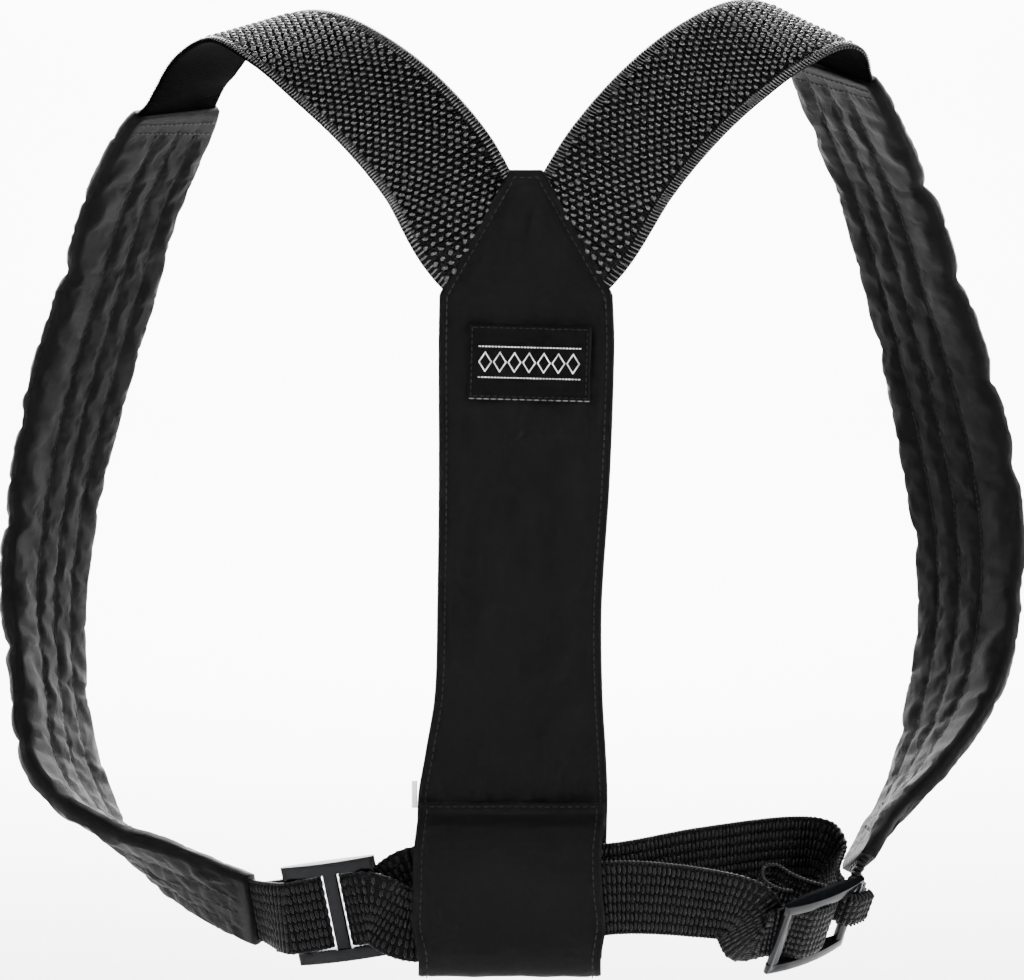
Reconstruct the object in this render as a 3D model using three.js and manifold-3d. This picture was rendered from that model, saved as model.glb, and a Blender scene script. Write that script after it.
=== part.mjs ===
// A posture corrector: a back panel with a pointed yoke, two elastic shoulder straps that run into
// quilted pads, and a webbing belt that goes through a tunnel at the panel's foot to two sliders.
// Lengths are millimetres. +Z is up and the wearer looks along +Y. The origin is on the body side of
// the yoke, between the shoulder blades. Left and right are the wearer's own.

import * as THREE from 'three';
import Module from 'manifold-3d';
import { mergeVertices } from 'three/addons/utils/BufferGeometryUtils.js';

const wasm = await Module();
wasm.setup();

// Clearances
const seatGap = 0.3; // between pieces that are sewn together or lie on each other
const pocketGap = 0.4; // round a strap's end in what it is sewn into
const wrapGap = 0.6; // between webbing and the slider bar that it goes round

// Back panel and yoke
const panelHalfWidth = 35;
const panelThickness = 6;
const panelDrop = 300; // from the origin to the fold at the foot
const yokeRise = 26; // from the origin to the top of the yoke
const yokeDrop = 24; // from the origin to the yoke's lower corners
const yokeTopWidth = 13;
const edgeFullness = 9; // the higher, the squarer the panel's edges
const panelEdgeShare = 0.45; // of the thickness that is left at the very edge

// Tunnel at the panel's foot
const facingThickness = 1.6;
const tunnelHeight = 70;
const tunnelDepth = 10;
const foldRoom = 4; // between the panel's foot and the fold under it
const foldRise = 3; // from the bottom of the fold to where the hem lies flat
const hemHeight = 14;
const foldShares = [0.72, 0.25]; // of the tunnel's depth, where the fold lies flat below

// Shoulder straps
const strapWidth = 50;
const strapThickness = 1.8;
const seamDepth = 12; // how far a strap reaches into what it is sewn to
const yokeSeamDepth = 20;
const yokePocketDepths = 3; // the length of the yoke's pocket, in seam depths
const yokeLean = { across: 0.7, fall: 0.72 }; // the way that a strap runs on into the yoke

// Quilted pads
const padWidth = 58;
// The pads' feet and the webbing sewn into them, which is folded in two on the right
const leftPadFoot = {
  width: 34, strapWidth: 30, strapThickness: 1.8, rise: 0, start: 1, slack: 6.5, turnback: 9,
};
const rightPadFoot = {
  width: 30, strapWidth: 17, strapThickness: 3.6, rise: 6, start: -1, slack: 0, turnback: 1.5,
};
const padThickness = 9;
const padEndThickness = 6.4;
const padChannels = 4;
const quiltDepth = 0.42; // share of the thickness that a line of quilting takes away
const dentDepth = 3;
const dentLength = 7;
const padEdgeFullness = 0.6;

// Belt webbing
const webbingWidth = 30;
const webbingThickness = 1.8;
const beltSlack = 6.5; // by which the belt's turn stands off the left slider's bar

// Sliders
const sliderLength = 39;
const railWidth = 5;
const railEndThickness = 2.6;
const railBulge = 4.4;
const railInnerBulge = 2.2;
const railClearance = 0.8;
const endBarWidth = 4.5;
const middleBarWidth = 6;
const barThickness = 3.2;
const barRounding = 1.2;

// Label and care tag
const labelWidth = 49.5;
const labelHeight = 30.4;
const labelThickness = 0.6;
const labelDrop = 51.5;
const labelShift = 1.2;
const labelTilt = 1.5;
const tagHeight = 11;
const tagReach = 2.4;
const tagThickness = 0.9;
const tagDrop = 227;

// Lengths of one step along each kind of surface
const bandStep = 5;
const padStep = 8;
const wrapStep = 3;
const panelSteps = 22;
const panelColumns = 8;
const facingColumns = 6;
const arcDivisions = 20; // in which each stretch of a route is measured

// How far the harness reaches from the panel
const sideReach = 210;
const chestDepth = 120;
const shoulderRise = 87;
const armDrop = 277;

// The panel's sides. Each edge is a share of panelHalfWidth, fall is a share of panelDrop.
const panelRows = [
  { fall: 0.08, left: 1.0, right: 1.0 },
  { fall: 0.15, left: 1.01, right: 1.02 },
  { fall: 0.33, left: 1.01, right: 0.97 },
  { fall: 0.5, left: 1.03, right: 0.88 },
  { fall: 0.62, left: 1.06, right: 0.89 },
  { fall: 0.7, left: 1.17, right: 0.93 },
  { fall: 0.77, left: 1.26, right: 0.95 },
  { fall: 1.0, left: 1.25, right: 0.88 },
];

// The facing that makes the tunnel. The first two columns are shares of tunnelDepth and tunnelHeight
// from the seam, and the edges are shares of panelHalfWidth.
const facingRows = [
  { out: 0.0, fall: 0.0, left: 1.24, right: 0.92 },
  { out: 0.02, fall: 0.06, left: 1.25, right: 0.92 },
  { out: 0.5, fall: 0.14, left: 1.27, right: 0.9 },
  { out: 0.92, fall: 0.28, left: 1.3, right: 0.87 },
  { out: 1.0, fall: 0.5, left: 1.31, right: 0.88 },
  { out: 1.0, fall: 0.7, left: 1.32, right: 0.92 },
  { out: 0.97, fall: 0.88, left: 1.25, right: 0.87 },
];

// The shoulder routes, from the yoke over the crest to the top of each pad. Across is a share of the
// way from the panel's edge to sideReach, deep of chestDepth and rise of shoulderRise. The last three
// columns are the way that the strap's outer face looks.
const leftShoulderRows = [
  { across: 0.005, deep: 0.06, rise: 0.315, x: 0.0, y: -0.97, z: 0.24 },
  { across: 0.115, deep: 0.17, rise: 0.575, x: -0.02, y: -0.9, z: 0.43 },
  { across: 0.235, deep: 0.28, rise: 0.78, x: -0.08, y: -0.74, z: 0.66 },
  { across: 0.35, deep: 0.38, rise: 0.93, x: -0.16, y: -0.46, z: 0.87 },
  { across: 0.455, deep: 0.5, rise: 0.985, x: -0.3, y: -0.06, z: 0.95 },
  { across: 0.545, deep: 0.63, rise: 0.88, x: -0.54, y: 0.3, z: 0.79 },
  { across: 0.605, deep: 0.73, rise: 0.73, x: -0.73, y: 0.48, z: 0.5 },
];
const rightShoulderRows = [
  { across: 0.02, deep: 0.06, rise: 0.33, x: 0.0, y: -0.98, z: 0.2 },
  { across: 0.135, deep: 0.17, rise: 0.6, x: 0.0, y: -0.93, z: 0.36 },
  { across: 0.25, deep: 0.28, rise: 0.8, x: 0.04, y: -0.83, z: 0.55 },
  { across: 0.375, deep: 0.38, rise: 0.95, x: 0.1, y: -0.64, z: 0.76 },
  { across: 0.485, deep: 0.5, rise: 0.985, x: 0.3, y: -0.2, z: 0.93 },
];

// The pad routes, from the top of each pad down the chest and round under the arm. Across is a share
// of sideReach, deep of chestDepth and fall of armDrop, and the face columns are as above.
const leftSideRows = [
  { across: 0.71, deep: 0.8, fall: -0.19, x: -0.8, y: 0.55, z: 0.25 },
  { across: 0.805, deep: 0.915, fall: -0.053, x: -0.8, y: 0.59, z: 0.08 },
  { across: 0.873, deep: 0.98, fall: 0.103, x: -0.8, y: 0.6, z: 0.03 },
  { across: 0.937, deep: 1.0, fall: 0.261, x: -0.81, y: 0.58, z: 0.0 },
  { across: 0.98, deep: 0.965, fall: 0.418, x: -0.86, y: 0.51, z: -0.02 },
  { across: 0.998, deep: 0.89, fall: 0.573, x: -0.89, y: 0.45, z: -0.06 },
  { across: 0.975, deep: 0.75, fall: 0.722, x: -0.9, y: 0.36, z: -0.16 },
  { across: 0.945, deep: 0.615, fall: 0.812, x: -0.84, y: 0.36, z: -0.38 },
  { across: 0.885, deep: 0.48, fall: 0.878, x: -0.78, y: 0.14, z: -0.58 },
  { across: 0.785, deep: 0.34, fall: 0.927, x: -0.64, y: -0.22, z: -0.72 },
  { across: 0.655, deep: 0.2, fall: 0.967, x: -0.42, y: -0.62, z: -0.64 },
  { across: 0.53, deep: 0.07, fall: 0.998, x: -0.24, y: -0.86, z: -0.44 },
];
const rightSideRows = [
  { across: 0.615, deep: 0.64, fall: -0.255, x: 0.66, y: 0.3, z: 0.7 },
  { across: 0.685, deep: 0.79, fall: -0.15, x: 0.78, y: 0.54, z: 0.34 },
  { across: 0.746, deep: 0.9, fall: -0.053, x: 0.8, y: 0.59, z: 0.1 },
  { across: 0.813, deep: 0.97, fall: 0.103, x: 0.8, y: 0.6, z: 0.02 },
  { across: 0.872, deep: 0.98, fall: 0.261, x: 0.73, y: 0.68, z: 0.0 },
  { across: 0.914, deep: 0.95, fall: 0.418, x: 0.7, y: 0.71, z: -0.02 },
  { across: 0.92, deep: 0.85, fall: 0.573, x: 0.76, y: 0.64, z: -0.08 },
  { across: 0.872, deep: 0.67, fall: 0.72, x: 0.8, y: 0.54, z: -0.26 },
  { across: 0.782, deep: 0.47, fall: 0.835, x: 0.84, y: 0.2, z: -0.46 },
  { across: 0.706, deep: 0.34, fall: 0.893, x: 0.84, y: 0.04, z: -0.5 },
  { across: 0.66, deep: 0.24, fall: 0.942, x: 0.82, y: -0.06, z: -0.54 },
];

// A pad's width from its foot's width to padWidth and its thickness from padEndThickness to padThickness
const padRows = [
  { along: 0.0, wide: 0.8, thick: 0.0 },
  { along: 0.015, wide: 0.94, thick: 0.15 },
  { along: 0.05, wide: 1.0, thick: 0.8 },
  { along: 0.1, wide: 1.0, thick: 1.0 },
  { along: 0.7, wide: 1.0, thick: 1.0 },
  { along: 0.88, wide: 0.55, thick: 0.8 },
  { along: 0.96, wide: 0.15, thick: 0.2 },
  { along: 1.0, wide: 0.0, thick: 0.0 },
];

// The belt's back layer behind the right slider, its front layer beside the tunnel, and both layers
// in the tunnel, where across is a share of panelHalfWidth, out one of tunnelDepth from the panel and
// rise one of tunnelHeight
const beltBackRows = [
  { across: 0.608, deep: 0.28, fall: 0.977, x: 1.0, y: -0.1, z: -0.3 },
  { across: 0.606, deep: 0.345, fall: 0.947, x: 0.8, y: 0.6, z: 0.0 },
  { across: 0.585, deep: 0.375, fall: 0.937, x: 0.1, y: 1.0, z: 0.0 },
  { across: 0.53, deep: 0.33, fall: 0.931, x: -0.3, y: 0.95, z: 0.0 },
  { across: 0.34, deep: 0.09, fall: 0.931, x: -0.3, y: 0.95, z: 0.0 },
];
const tunnelBackRows = [
  { across: 0.95, out: 0.0, rise: 0.55 },
  { across: -0.2, out: 0.0, rise: 0.55 },
  { across: -0.9, out: 0.03, rise: 0.54 },
  { across: -1.3, out: 0.08, rise: 0.53 },
];
const tunnelFrontRows = [
  { across: -1.35, out: 0.57, rise: 0.305 },
  { across: -0.6, out: 0.48, rise: 0.325 },
  { across: 0.2, out: 0.53, rise: 0.38 },
  { across: 0.95, out: 0.6, rise: 0.46 },
];
const beltFrontRows = [
  { across: 0.33, deep: -0.05, fall: 0.978, x: 0.12, y: -0.97, z: -0.2 },
  { across: 0.42, deep: -0.02, fall: 0.995, x: 0.3, y: -0.86, z: -0.42 },
];

// The belt's two ends at the right slider, as shares of sliderLength along and out from the slider:
// the sewn end behind it, and the front layer through it with the curled free end
const beltStartRows = [
  { along: 0.359, out: -0.169, faceAlong: 0.1, faceOut: 1.0 },
  { along: 0.436, out: -0.195, faceAlong: 0.6, faceOut: 0.8 },
];
const tailRows = [
  { along: -0.66, out: -0.14, faceAlong: 0.0, faceOut: 1.0 },
  { along: -0.44, out: -0.08, faceAlong: -0.1, faceOut: 1.0 },
  { along: -0.27, out: -0.02, faceAlong: -0.6, faceOut: 0.8 },
  { along: -0.15, out: 0.07, faceAlong: -0.4, faceOut: 0.9 },
  { along: 0.0, out: 0.09, faceAlong: 0.0, faceOut: 1.0 },
  { along: 0.14, out: 0.055, faceAlong: 0.6, faceOut: 0.8 },
  { along: 0.21, out: -0.04, faceAlong: 1.0, faceOut: 0.1 },
  { along: 0.16, out: -0.17, faceAlong: 0.9, faceOut: -0.4 },
  { along: 0.03, out: -0.3, faceAlong: 0.7, faceOut: -0.7 },
  { along: -0.08, out: -0.46, faceAlong: 0.9, faceOut: -0.4 },
  { along: -0.16, out: -0.62, faceAlong: 0.5, faceOut: -0.9 },
  { along: -0.3, out: -0.65, faceAlong: -0.4, faceOut: -0.9 },
  { along: -0.4, out: -0.5, faceAlong: -1.0, faceOut: 0.0 },
  { along: -0.32, out: -0.33, faceAlong: -0.7, faceOut: 0.7 },
  { along: -0.2, out: -0.24, faceAlong: -0.6, faceOut: 0.8 },
];

// Where the pads' edges are dented by a cross fold, as shares of the pad's length, on the outer edge
// with side 1 and on the inner edge with side -1. Deep is a share of dentDepth.
const leftDents = [
  { along: 0.19, side: 1, deep: 1.0 },
  { along: 0.36, side: 1, deep: 0.5 },
  { along: 0.46, side: 1, deep: 0.9 },
  { along: 0.59, side: 1, deep: 0.9 },
  { along: 0.62, side: -1, deep: 0.6 },
  { along: 0.7, side: 1, deep: 0.8 },
  { along: 0.78, side: -1, deep: 0.7 },
  { along: 0.85, side: 1, deep: 0.6 },
];
const rightDents = [
  { along: 0.09, side: -1, deep: 0.8 },
  { along: 0.16, side: 1, deep: 1.0 },
  { along: 0.28, side: 1, deep: 0.9 },
  { along: 0.34, side: -1, deep: 0.7 },
  { along: 0.4, side: 1, deep: 0.9 },
  { along: 0.5, side: 1, deep: 0.8 },
  { along: 0.56, side: -1, deep: 0.7 },
  { along: 0.64, side: 1, deep: 0.6 },
  { along: 0.8, side: -1, deep: 0.6 },
];

// The sliders: where each one's centre is, as shares of sideReach, chestDepth and armDrop, and the
// ways that its length and its upper rail look.
const leftSliderPlace = {
  across: -0.366, deep: -0.045, fall: 0.99, length: [0.955, -0.24, 0.17], up: [-0.22, -0.06, 0.97],
};
const rightSliderPlace = {
  across: 0.566, deep: 0.13, fall: 1.026, length: [0.82, 0.5, 0.21], up: [0.22, -0.57, 0.78],
};

// Materials
const cloth = { color: 0x161617, roughness: 0.72, metalness: 0 };
const elastic = { color: 0x1a1a1c, roughness: 0.6, metalness: 0 };
const webbing = { color: 0x1c1c1e, roughness: 0.65, metalness: 0 };
const plastic = { color: 0x2a2c30, roughness: 0.35, metalness: 0 };
const labelSatin = { color: 0x101011, roughness: 0.45, metalness: 0 };
const tagSatin = { color: 0xe8e8e4, roughness: 0.6, metalness: 0 };

// A named mesh with its material
function piece(name, geometry, look) {
  const mesh = new THREE.Mesh(geometry, new THREE.MeshStandardMaterial(look));
  mesh.name = name;
  return mesh;
}

// A geometry as a manifold solid, with its shared corners merged
function toSolid(geometry) {
  const bare = geometry.clone();
  bare.deleteAttribute('normal');
  bare.deleteAttribute('uv');
  const merged = mergeVertices(bare, 1e-4);
  return new wasm.Manifold(new wasm.Mesh({
    numProp: 3,
    vertProperties: new Float32Array(merged.attributes.position.array),
    triVerts: new Uint32Array(merged.index.array),
  }));
}

// A manifold solid as a geometry
function toGeometry(solid) {
  const mesh = solid.getMesh();
  const geometry = new THREE.BufferGeometry();
  geometry.setAttribute('position', new THREE.BufferAttribute(mesh.vertProperties, 3));
  geometry.setIndex(new THREE.BufferAttribute(mesh.triVerts, 1));
  geometry.computeVertexNormals();
  return geometry;
}

// Six times the volume that a set of triangles encloses, negative where they face inwards
function signedVolume(corners, triangles) {
  const cross = new THREE.Vector3();
  let total = 0;
  for (const [a, b, c] of triangles) {
    total += corners[a].dot(cross.crossVectors(corners[b], corners[c]));
  }
  return total;
}

// A closed skin over a row of rings that have as many points each, with a fan over both ends
function loft(rings) {
  const count = rings[0].length;
  const corners = rings.flat();
  const triangles = [];
  for (let row = 0; row + 1 < rings.length; row += 1) {
    for (let k = 0; k < count; k += 1) {
      const next = (k + 1) % count;
      const low = row * count;
      const high = low + count;
      triangles.push([low + k, low + next, high + next]);
      triangles.push([low + k, high + next, high + k]);
    }
  }
  const lastRow = (rings.length - 1) * count;
  for (let k = 1; k + 1 < count; k += 1) {
    triangles.push([0, k + 1, k]);
    triangles.push([lastRow, lastRow + k, lastRow + k + 1]);
  }
  const inward = signedVolume(corners, triangles) < 0;
  const geometry = new THREE.BufferGeometry().setFromPoints(corners);
  geometry.setIndex(triangles.flatMap(([a, b, c]) => (inward ? [a, c, b] : [a, b, c])));
  geometry.computeVertexNormals();
  return geometry;
}

// A smooth value between the rows of a table, read at a share in its key column
function between(rows, key, column, at) {
  const last = rows.length - 1;
  const slope = (k) => {
    const before = rows[Math.max(k - 1, 0)];
    const after = rows[Math.min(k + 1, last)];
    return (after[column] - before[column]) / (after[key] - before[key]);
  };
  let k = 0;
  while (k < last - 1 && at > rows[k + 1][key]) k += 1;
  const span = rows[k + 1][key] - rows[k][key];
  const t = THREE.MathUtils.clamp((at - rows[k][key]) / span, 0, 1);
  const rise = rows[k + 1][column] - rows[k][column];
  const bendIn = slope(k) * span - rise;
  const bendOut = rise - slope(k + 1) * span;
  return rows[k][column] + rise * t + t * (1 - t) * (bendIn * (1 - t) + bendOut * t);
}

// A flat band's way through space: its middle line and the way that its outer face looks
class BandRoute {
  constructor(stations) {
    const places = stations.map((station) => station.at);
    const faces = stations.map((station) => station.face);
    this.line = new THREE.CatmullRomCurve3(places, false, 'centripetal');
    this.line.arcLengthDivisions = (stations.length - 1) * arcDivisions;
    this.facing = new THREE.CatmullRomCurve3(faces, false, 'catmullrom', 0.5);
    this.length = this.line.getLength();
  }

  // The distance along the line of a station, counted from the first
  distanceOf(station, count) {
    const lengths = this.line.getLengths();
    return lengths[Math.round((station / (count - 1)) * (lengths.length - 1))];
  }

  // The frame at a distance along the line, which runs on straight past both ends
  frameAt(distance) {
    const held = THREE.MathUtils.clamp(distance, 0, this.length);
    const t = this.line.getUtoTmapping(0, held);
    const along = this.line.getTangent(t);
    const at = this.line.getPoint(t).addScaledVector(along, distance - held);
    const out = this.facing.getPoint(t);
    out.addScaledVector(along, -out.dot(along)).normalize();
    const across = new THREE.Vector3().crossVectors(along, out);
    return { at, along, out, across };
  }
}

// A point of a route's frame, across the band and out from its middle line
function onFrame(frame, across, out) {
  return frame.at.clone().addScaledVector(frame.across, across).addScaledVector(frame.out, out);
}

// A flat band of even width and thickness between two distances of a route
function band(route, start, end, width, thickness, step) {
  const steps = Math.max(2, Math.round((end - start) / step));
  const rings = [];
  for (let k = 0; k <= steps; k += 1) {
    const frame = route.frameAt(THREE.MathUtils.lerp(start, end, k / steps));
    rings.push([
      onFrame(frame, -width / 2, -thickness / 2),
      onFrame(frame, width / 2, -thickness / 2),
      onFrame(frame, width / 2, thickness / 2),
      onFrame(frame, -width / 2, thickness / 2),
    ]);
  }
  return loft(rings);
}

// A slider's frame: its centre, the ways that its length and its upper rail look, and its front
function sliderFrame(place) {
  const { across, deep, fall } = place;
  const centre = new THREE.Vector3(across * sideReach, deep * chestDepth, -fall * armDrop);
  const length = new THREE.Vector3(...place.length).normalize();
  const front = new THREE.Vector3().crossVectors(length, new THREE.Vector3(...place.up)).normalize();
  const up = new THREE.Vector3().crossVectors(front, length);
  return { centre, length, up, front };
}

// A route station beside a slider, along its length and out from its front, and the way it faces
function besideSlider(slider, along, out, faceAlong, faceOut, rise = 0) {
  const at = slider.centre.clone().addScaledVector(slider.length, along);
  at.addScaledVector(slider.front, out).addScaledVector(slider.up, rise);
  const face = slider.length.clone().multiplyScalar(faceAlong).addScaledVector(slider.front, faceOut);
  return { at, face };
}

// The turn of a webbing round one of a slider's end bars. It comes and goes on the side given by
// outward, -1 or 1 along the slider's length. With start 1 it comes over the bar's front and with
// start -1 over its back, and facing is 1 where its outer face looks to the slider's front as it comes.
function barWrap(slider, { outward, start, facing, thickness, slack, rise }) {
  const bar = outward * (sliderLength - endBarWidth) / 2;
  const reach = endBarWidth / 2 + wrapGap + thickness / 2;
  const lift = barThickness / 2 + wrapGap + thickness / 2;
  const turn = [
    { along: reach, out: 1, faceAlong: 0, faceOut: 1 },
    { along: -reach * 0.3, out: 1, faceAlong: -0.2, faceOut: 1 },
    { along: -reach * 0.85 - slack * 0.8, out: 0.62, faceAlong: -0.8, faceOut: 0.6 },
    { along: -reach * 1.05 - slack, out: 0, faceAlong: -1, faceOut: 0 },
    { along: -reach * 0.85 - slack * 0.8, out: -0.62, faceAlong: -0.8, faceOut: -0.6 },
    { along: -reach * 0.3, out: -1, faceAlong: -0.2, faceOut: -1 },
    { along: reach, out: -1, faceAlong: 0, faceOut: -1 },
  ];
  return turn.map((stop) => besideSlider(slider, bar + outward * stop.along, start * lift * stop.out,
    start * facing * outward * stop.faceAlong, facing * stop.faceOut, rise));
}

// The route of one side from inside the yoke to the end sewn back at the slider, with side -1 on the
// left and 1 on the right, and the distances at which the pad begins and ends
function harnessRoute(side, shoulderRows, sideRows, foot, slider) {
  const strapPlane = -panelThickness / 2;
  const corner = new THREE.Vector3(side * panelHalfWidth, strapPlane, -yokeDrop);
  const top = new THREE.Vector3((side * yokeTopWidth) / 2, strapPlane, yokeRise);
  const seat = corner.clone().add(top).multiplyScalar(0.5);
  const inward = new THREE.Vector3(-side * yokeLean.across, 0, -yokeLean.fall).normalize();
  const backward = new THREE.Vector3(0, -1, 0);
  const stations = [
    { at: seat.clone().addScaledVector(inward, yokeSeamDepth), face: backward },
    { at: seat, face: backward },
  ];
  for (const row of shoulderRows) {
    stations.push({
      at: new THREE.Vector3(
        side * THREE.MathUtils.lerp(panelHalfWidth, sideReach, row.across),
        THREE.MathUtils.lerp(strapPlane, chestDepth, row.deep),
        row.rise * shoulderRise,
      ),
      face: new THREE.Vector3(row.x, row.y, row.z),
    });
  }
  const padFirst = stations.length;
  for (const row of sideRows) {
    stations.push({
      at: new THREE.Vector3(side * row.across * sideReach, row.deep * chestDepth, -row.fall * armDrop),
      face: new THREE.Vector3(row.x, row.y, row.z),
    });
  }
  const padLast = stations.length - 1;
  const { start, rise, slack, strapThickness: thickness } = foot;
  const wrap = barWrap(slider, { outward: side, start, facing: 1, thickness, slack, rise });
  const end = wrap[wrap.length - 1];
  stations.push(...wrap);
  stations.push({
    at: end.at.clone().addScaledVector(slider.length, side * foot.turnback),
    face: end.face,
  });
  const route = new BandRoute(stations);
  route.padStart = route.distanceOf(padFirst, stations.length);
  route.padEnd = route.distanceOf(padLast, stations.length);
  route.side = side;
  route.foot = foot;
  return route;
}

// The edge of the panel on one side at a height
function panelEdge(side, z) {
  if (z > -yokeDrop) {
    const share = (yokeRise - z) / (yokeRise + yokeDrop);
    return THREE.MathUtils.lerp(yokeTopWidth / 2, panelHalfWidth, share);
  }
  const fall = THREE.MathUtils.clamp(-z / panelDrop, panelRows[0].fall, 1);
  return panelHalfWidth * between(panelRows, 'fall', side < 0 ? 'left' : 'right', fall);
}

// The back panel, without the pockets that the straps go into
function panelBlank() {
  const foot = -(panelDrop - facingThickness - foldRoom);
  const yokeRows = 7;
  const heights = [];
  for (let k = 0; k < yokeRows; k += 1) {
    heights.push(THREE.MathUtils.lerp(yokeRise, -yokeDrop, k / yokeRows));
  }
  for (let k = 0; k <= panelSteps; k += 1) {
    heights.push(THREE.MathUtils.lerp(-yokeDrop, foot, k / panelSteps));
  }
  const rings = heights.map((z) => {
    const left = -panelEdge(-1, z);
    const right = panelEdge(1, z);
    const front = [];
    const back = [];
    for (let k = 0; k <= panelColumns; k += 1) {
      const share = -Math.cos((Math.PI * k) / panelColumns);
      const x = THREE.MathUtils.lerp(left, right, (share + 1) / 2);
      const full = panelEdgeShare + (1 - panelEdgeShare) * (1 - Math.abs(share) ** edgeFullness);
      front.push(new THREE.Vector3(x, -panelThickness * (0.5 + 0.5 * full), z));
      back.unshift(new THREE.Vector3(x, -panelThickness * (0.5 - 0.5 * full), z));
    }
    return [...front, ...back];
  });
  return loft(rings);
}

// The pocket that a band is sewn into: the band itself, larger by the clearance all round
function pocket(route, start, end, width, thickness, step) {
  return toSolid(band(route, start, end, width + 2 * pocketGap, thickness + 2 * pocketGap, step));
}

// One side of the middle plane, as a block to cut with
function halfSpace(side) {
  const size = 4 * panelDrop;
  const block = new THREE.BoxGeometry(size, size, size);
  block.translate((side * (size + seatGap)) / 2 - side * seatGap, 0, 0);
  return toSolid(block);
}

function backPanel(routes) {
  let solid = toSolid(panelBlank());
  for (const route of routes) {
    solid = solid.subtract(pocket(
      route, -seatGap, yokeSeamDepth * yokePocketDepths, strapWidth, strapThickness, bandStep));
  }
  return piece('back_panel', toGeometry(solid), cloth);
}

// An elastic strap, mitred against the other one in the middle of the yoke
function shoulderStrap(name, route) {
  const end = route.padStart + seamDepth;
  const whole = toSolid(band(route, 0, end, strapWidth, strapThickness, bandStep));
  return piece(name, toGeometry(whole.subtract(halfSpace(-route.side))), elastic);
}

// How far the dents push an edge of a pad in, at a share of its length
function dentAt(dents, side, along, length) {
  let push = 0;
  for (const dent of dents) {
    const away = ((along - dent.along) * length) / dentLength;
    if (dent.side === side) push += dentDepth * dent.deep * Math.exp(-away * away);
  }
  return push;
}

// A quilted pad, with a pocket for the strap at its top and one for the webbing at its foot
function pad(name, route, dents) {
  const foot = route.foot;
  const length = route.padEnd - route.padStart;
  const steps = Math.round(length / padStep);
  const columns = padChannels * 3;
  const rings = [];
  for (let k = 0; k <= steps; k += 1) {
    const share = k / steps;
    const frame = route.frameAt(route.padStart + share * length);
    const wide = between(padRows, 'along', 'wide', share);
    const thick = between(padRows, 'along', 'thick', share);
    const width = THREE.MathUtils.lerp(foot.width, padWidth, wide);
    const thickness = THREE.MathUtils.lerp(padEndThickness, padThickness, thick);
    const quilt = quiltDepth * thick;
    const outer = [];
    const inner = [];
    for (let column = 0; column <= columns; column += 1) {
      const part = (2 * column) / columns - 1;
      const edge = Math.sign(part);
      const push = dentAt(dents, edge * route.side, share, length) * Math.abs(part) ** 3;
      const across = (part * width) / 2 - edge * push;
      const sewn = column % 3 === 0 ? 1 - quilt : 1;
      const half = (Math.abs(part) === 1 ? padEdgeFullness : sewn) * (thickness / 2);
      outer.push(onFrame(frame, across, half));
      inner.unshift(onFrame(frame, across, -half));
    }
    rings.push([...outer, ...inner]);
  }
  let solid = toSolid(loft(rings));
  const strapEnd = route.padStart + seamDepth + seatGap;
  const webbingStart = route.padEnd - seamDepth - seatGap;
  solid = solid.subtract(pocket(
    route, route.padStart - seamDepth, strapEnd, strapWidth, strapThickness, bandStep));
  solid = solid.subtract(pocket(
    route, webbingStart, route.padEnd + seamDepth, foot.strapWidth, foot.strapThickness, wrapStep));
  return piece(name, toGeometry(solid), cloth);
}

// The webbing from a pad's foot round the slider's outer bar
function endStrap(name, route) {
  const start = route.padEnd - seamDepth;
  const { strapWidth: width, strapThickness: thickness } = route.foot;
  return piece(name, band(route, start, route.length, width, thickness, wrapStep), webbing);
}

// The facing round the panel's foot, as its middle line in the YZ plane and its two edges
function facingLine() {
  const seamPlane = panelThickness + seatGap + facingThickness / 2;
  const outerPlane = panelThickness + tunnelDepth + facingThickness / 2;
  const hemPlane = seatGap + facingThickness / 2;
  const lowest = -panelDrop + facingThickness / 2;
  const stops = facingRows.map((row) => ({
    y: -THREE.MathUtils.lerp(seamPlane, outerPlane, row.out),
    z: -(panelDrop - tunnelHeight) - row.fall * (tunnelHeight - facingThickness / 2),
    left: row.left,
    right: row.right,
  }));
  const last = facingRows[facingRows.length - 1];
  const edges = { left: last.left, right: last.right };
  for (const share of foldShares) stops.push({ y: -outerPlane * share, z: lowest, ...edges });
  stops.push({ y: hemPlane, z: lowest + foldRise, ...edges });
  stops.push({ y: hemPlane, z: lowest + foldRise + hemHeight, ...edges });
  return stops;
}

function panelLoop() {
  const stops = facingLine();
  const line = new THREE.CatmullRomCurve3(
    stops.map((stop) => new THREE.Vector3(0, stop.y, stop.z)), false, 'centripetal');
  const edges = new THREE.CatmullRomCurve3(
    stops.map((stop) => new THREE.Vector3(stop.left, stop.right, 0)), false, 'catmullrom', 0.5);
  const steps = 2 * (stops.length - 1);
  const rings = [];
  for (let k = 0; k <= steps; k += 1) {
    const at = line.getPoint(k / steps);
    const along = line.getTangent(k / steps);
    const edge = edges.getPoint(k / steps);
    const outward = new THREE.Vector3(0, along.z, -along.y).multiplyScalar(facingThickness / 2);
    const outer = [];
    const inner = [];
    for (let column = 0; column <= facingColumns; column += 1) {
      const x = THREE.MathUtils.lerp(-edge.x, edge.y, column / facingColumns) * panelHalfWidth;
      outer.push(new THREE.Vector3(x, at.y + outward.y, at.z + outward.z));
      inner.unshift(new THREE.Vector3(x, at.y - outward.y, at.z - outward.z));
    }
    rings.push([...outer, ...inner]);
  }
  return piece('panel_loop', loft(rings), cloth);
}

// A route station at a place given by a row
function beltStation(row) {
  return {
    at: new THREE.Vector3(row.across * sideReach, row.deep * chestDepth, -row.fall * armDrop),
    face: new THREE.Vector3(row.x, row.y, row.z),
  };
}

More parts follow.
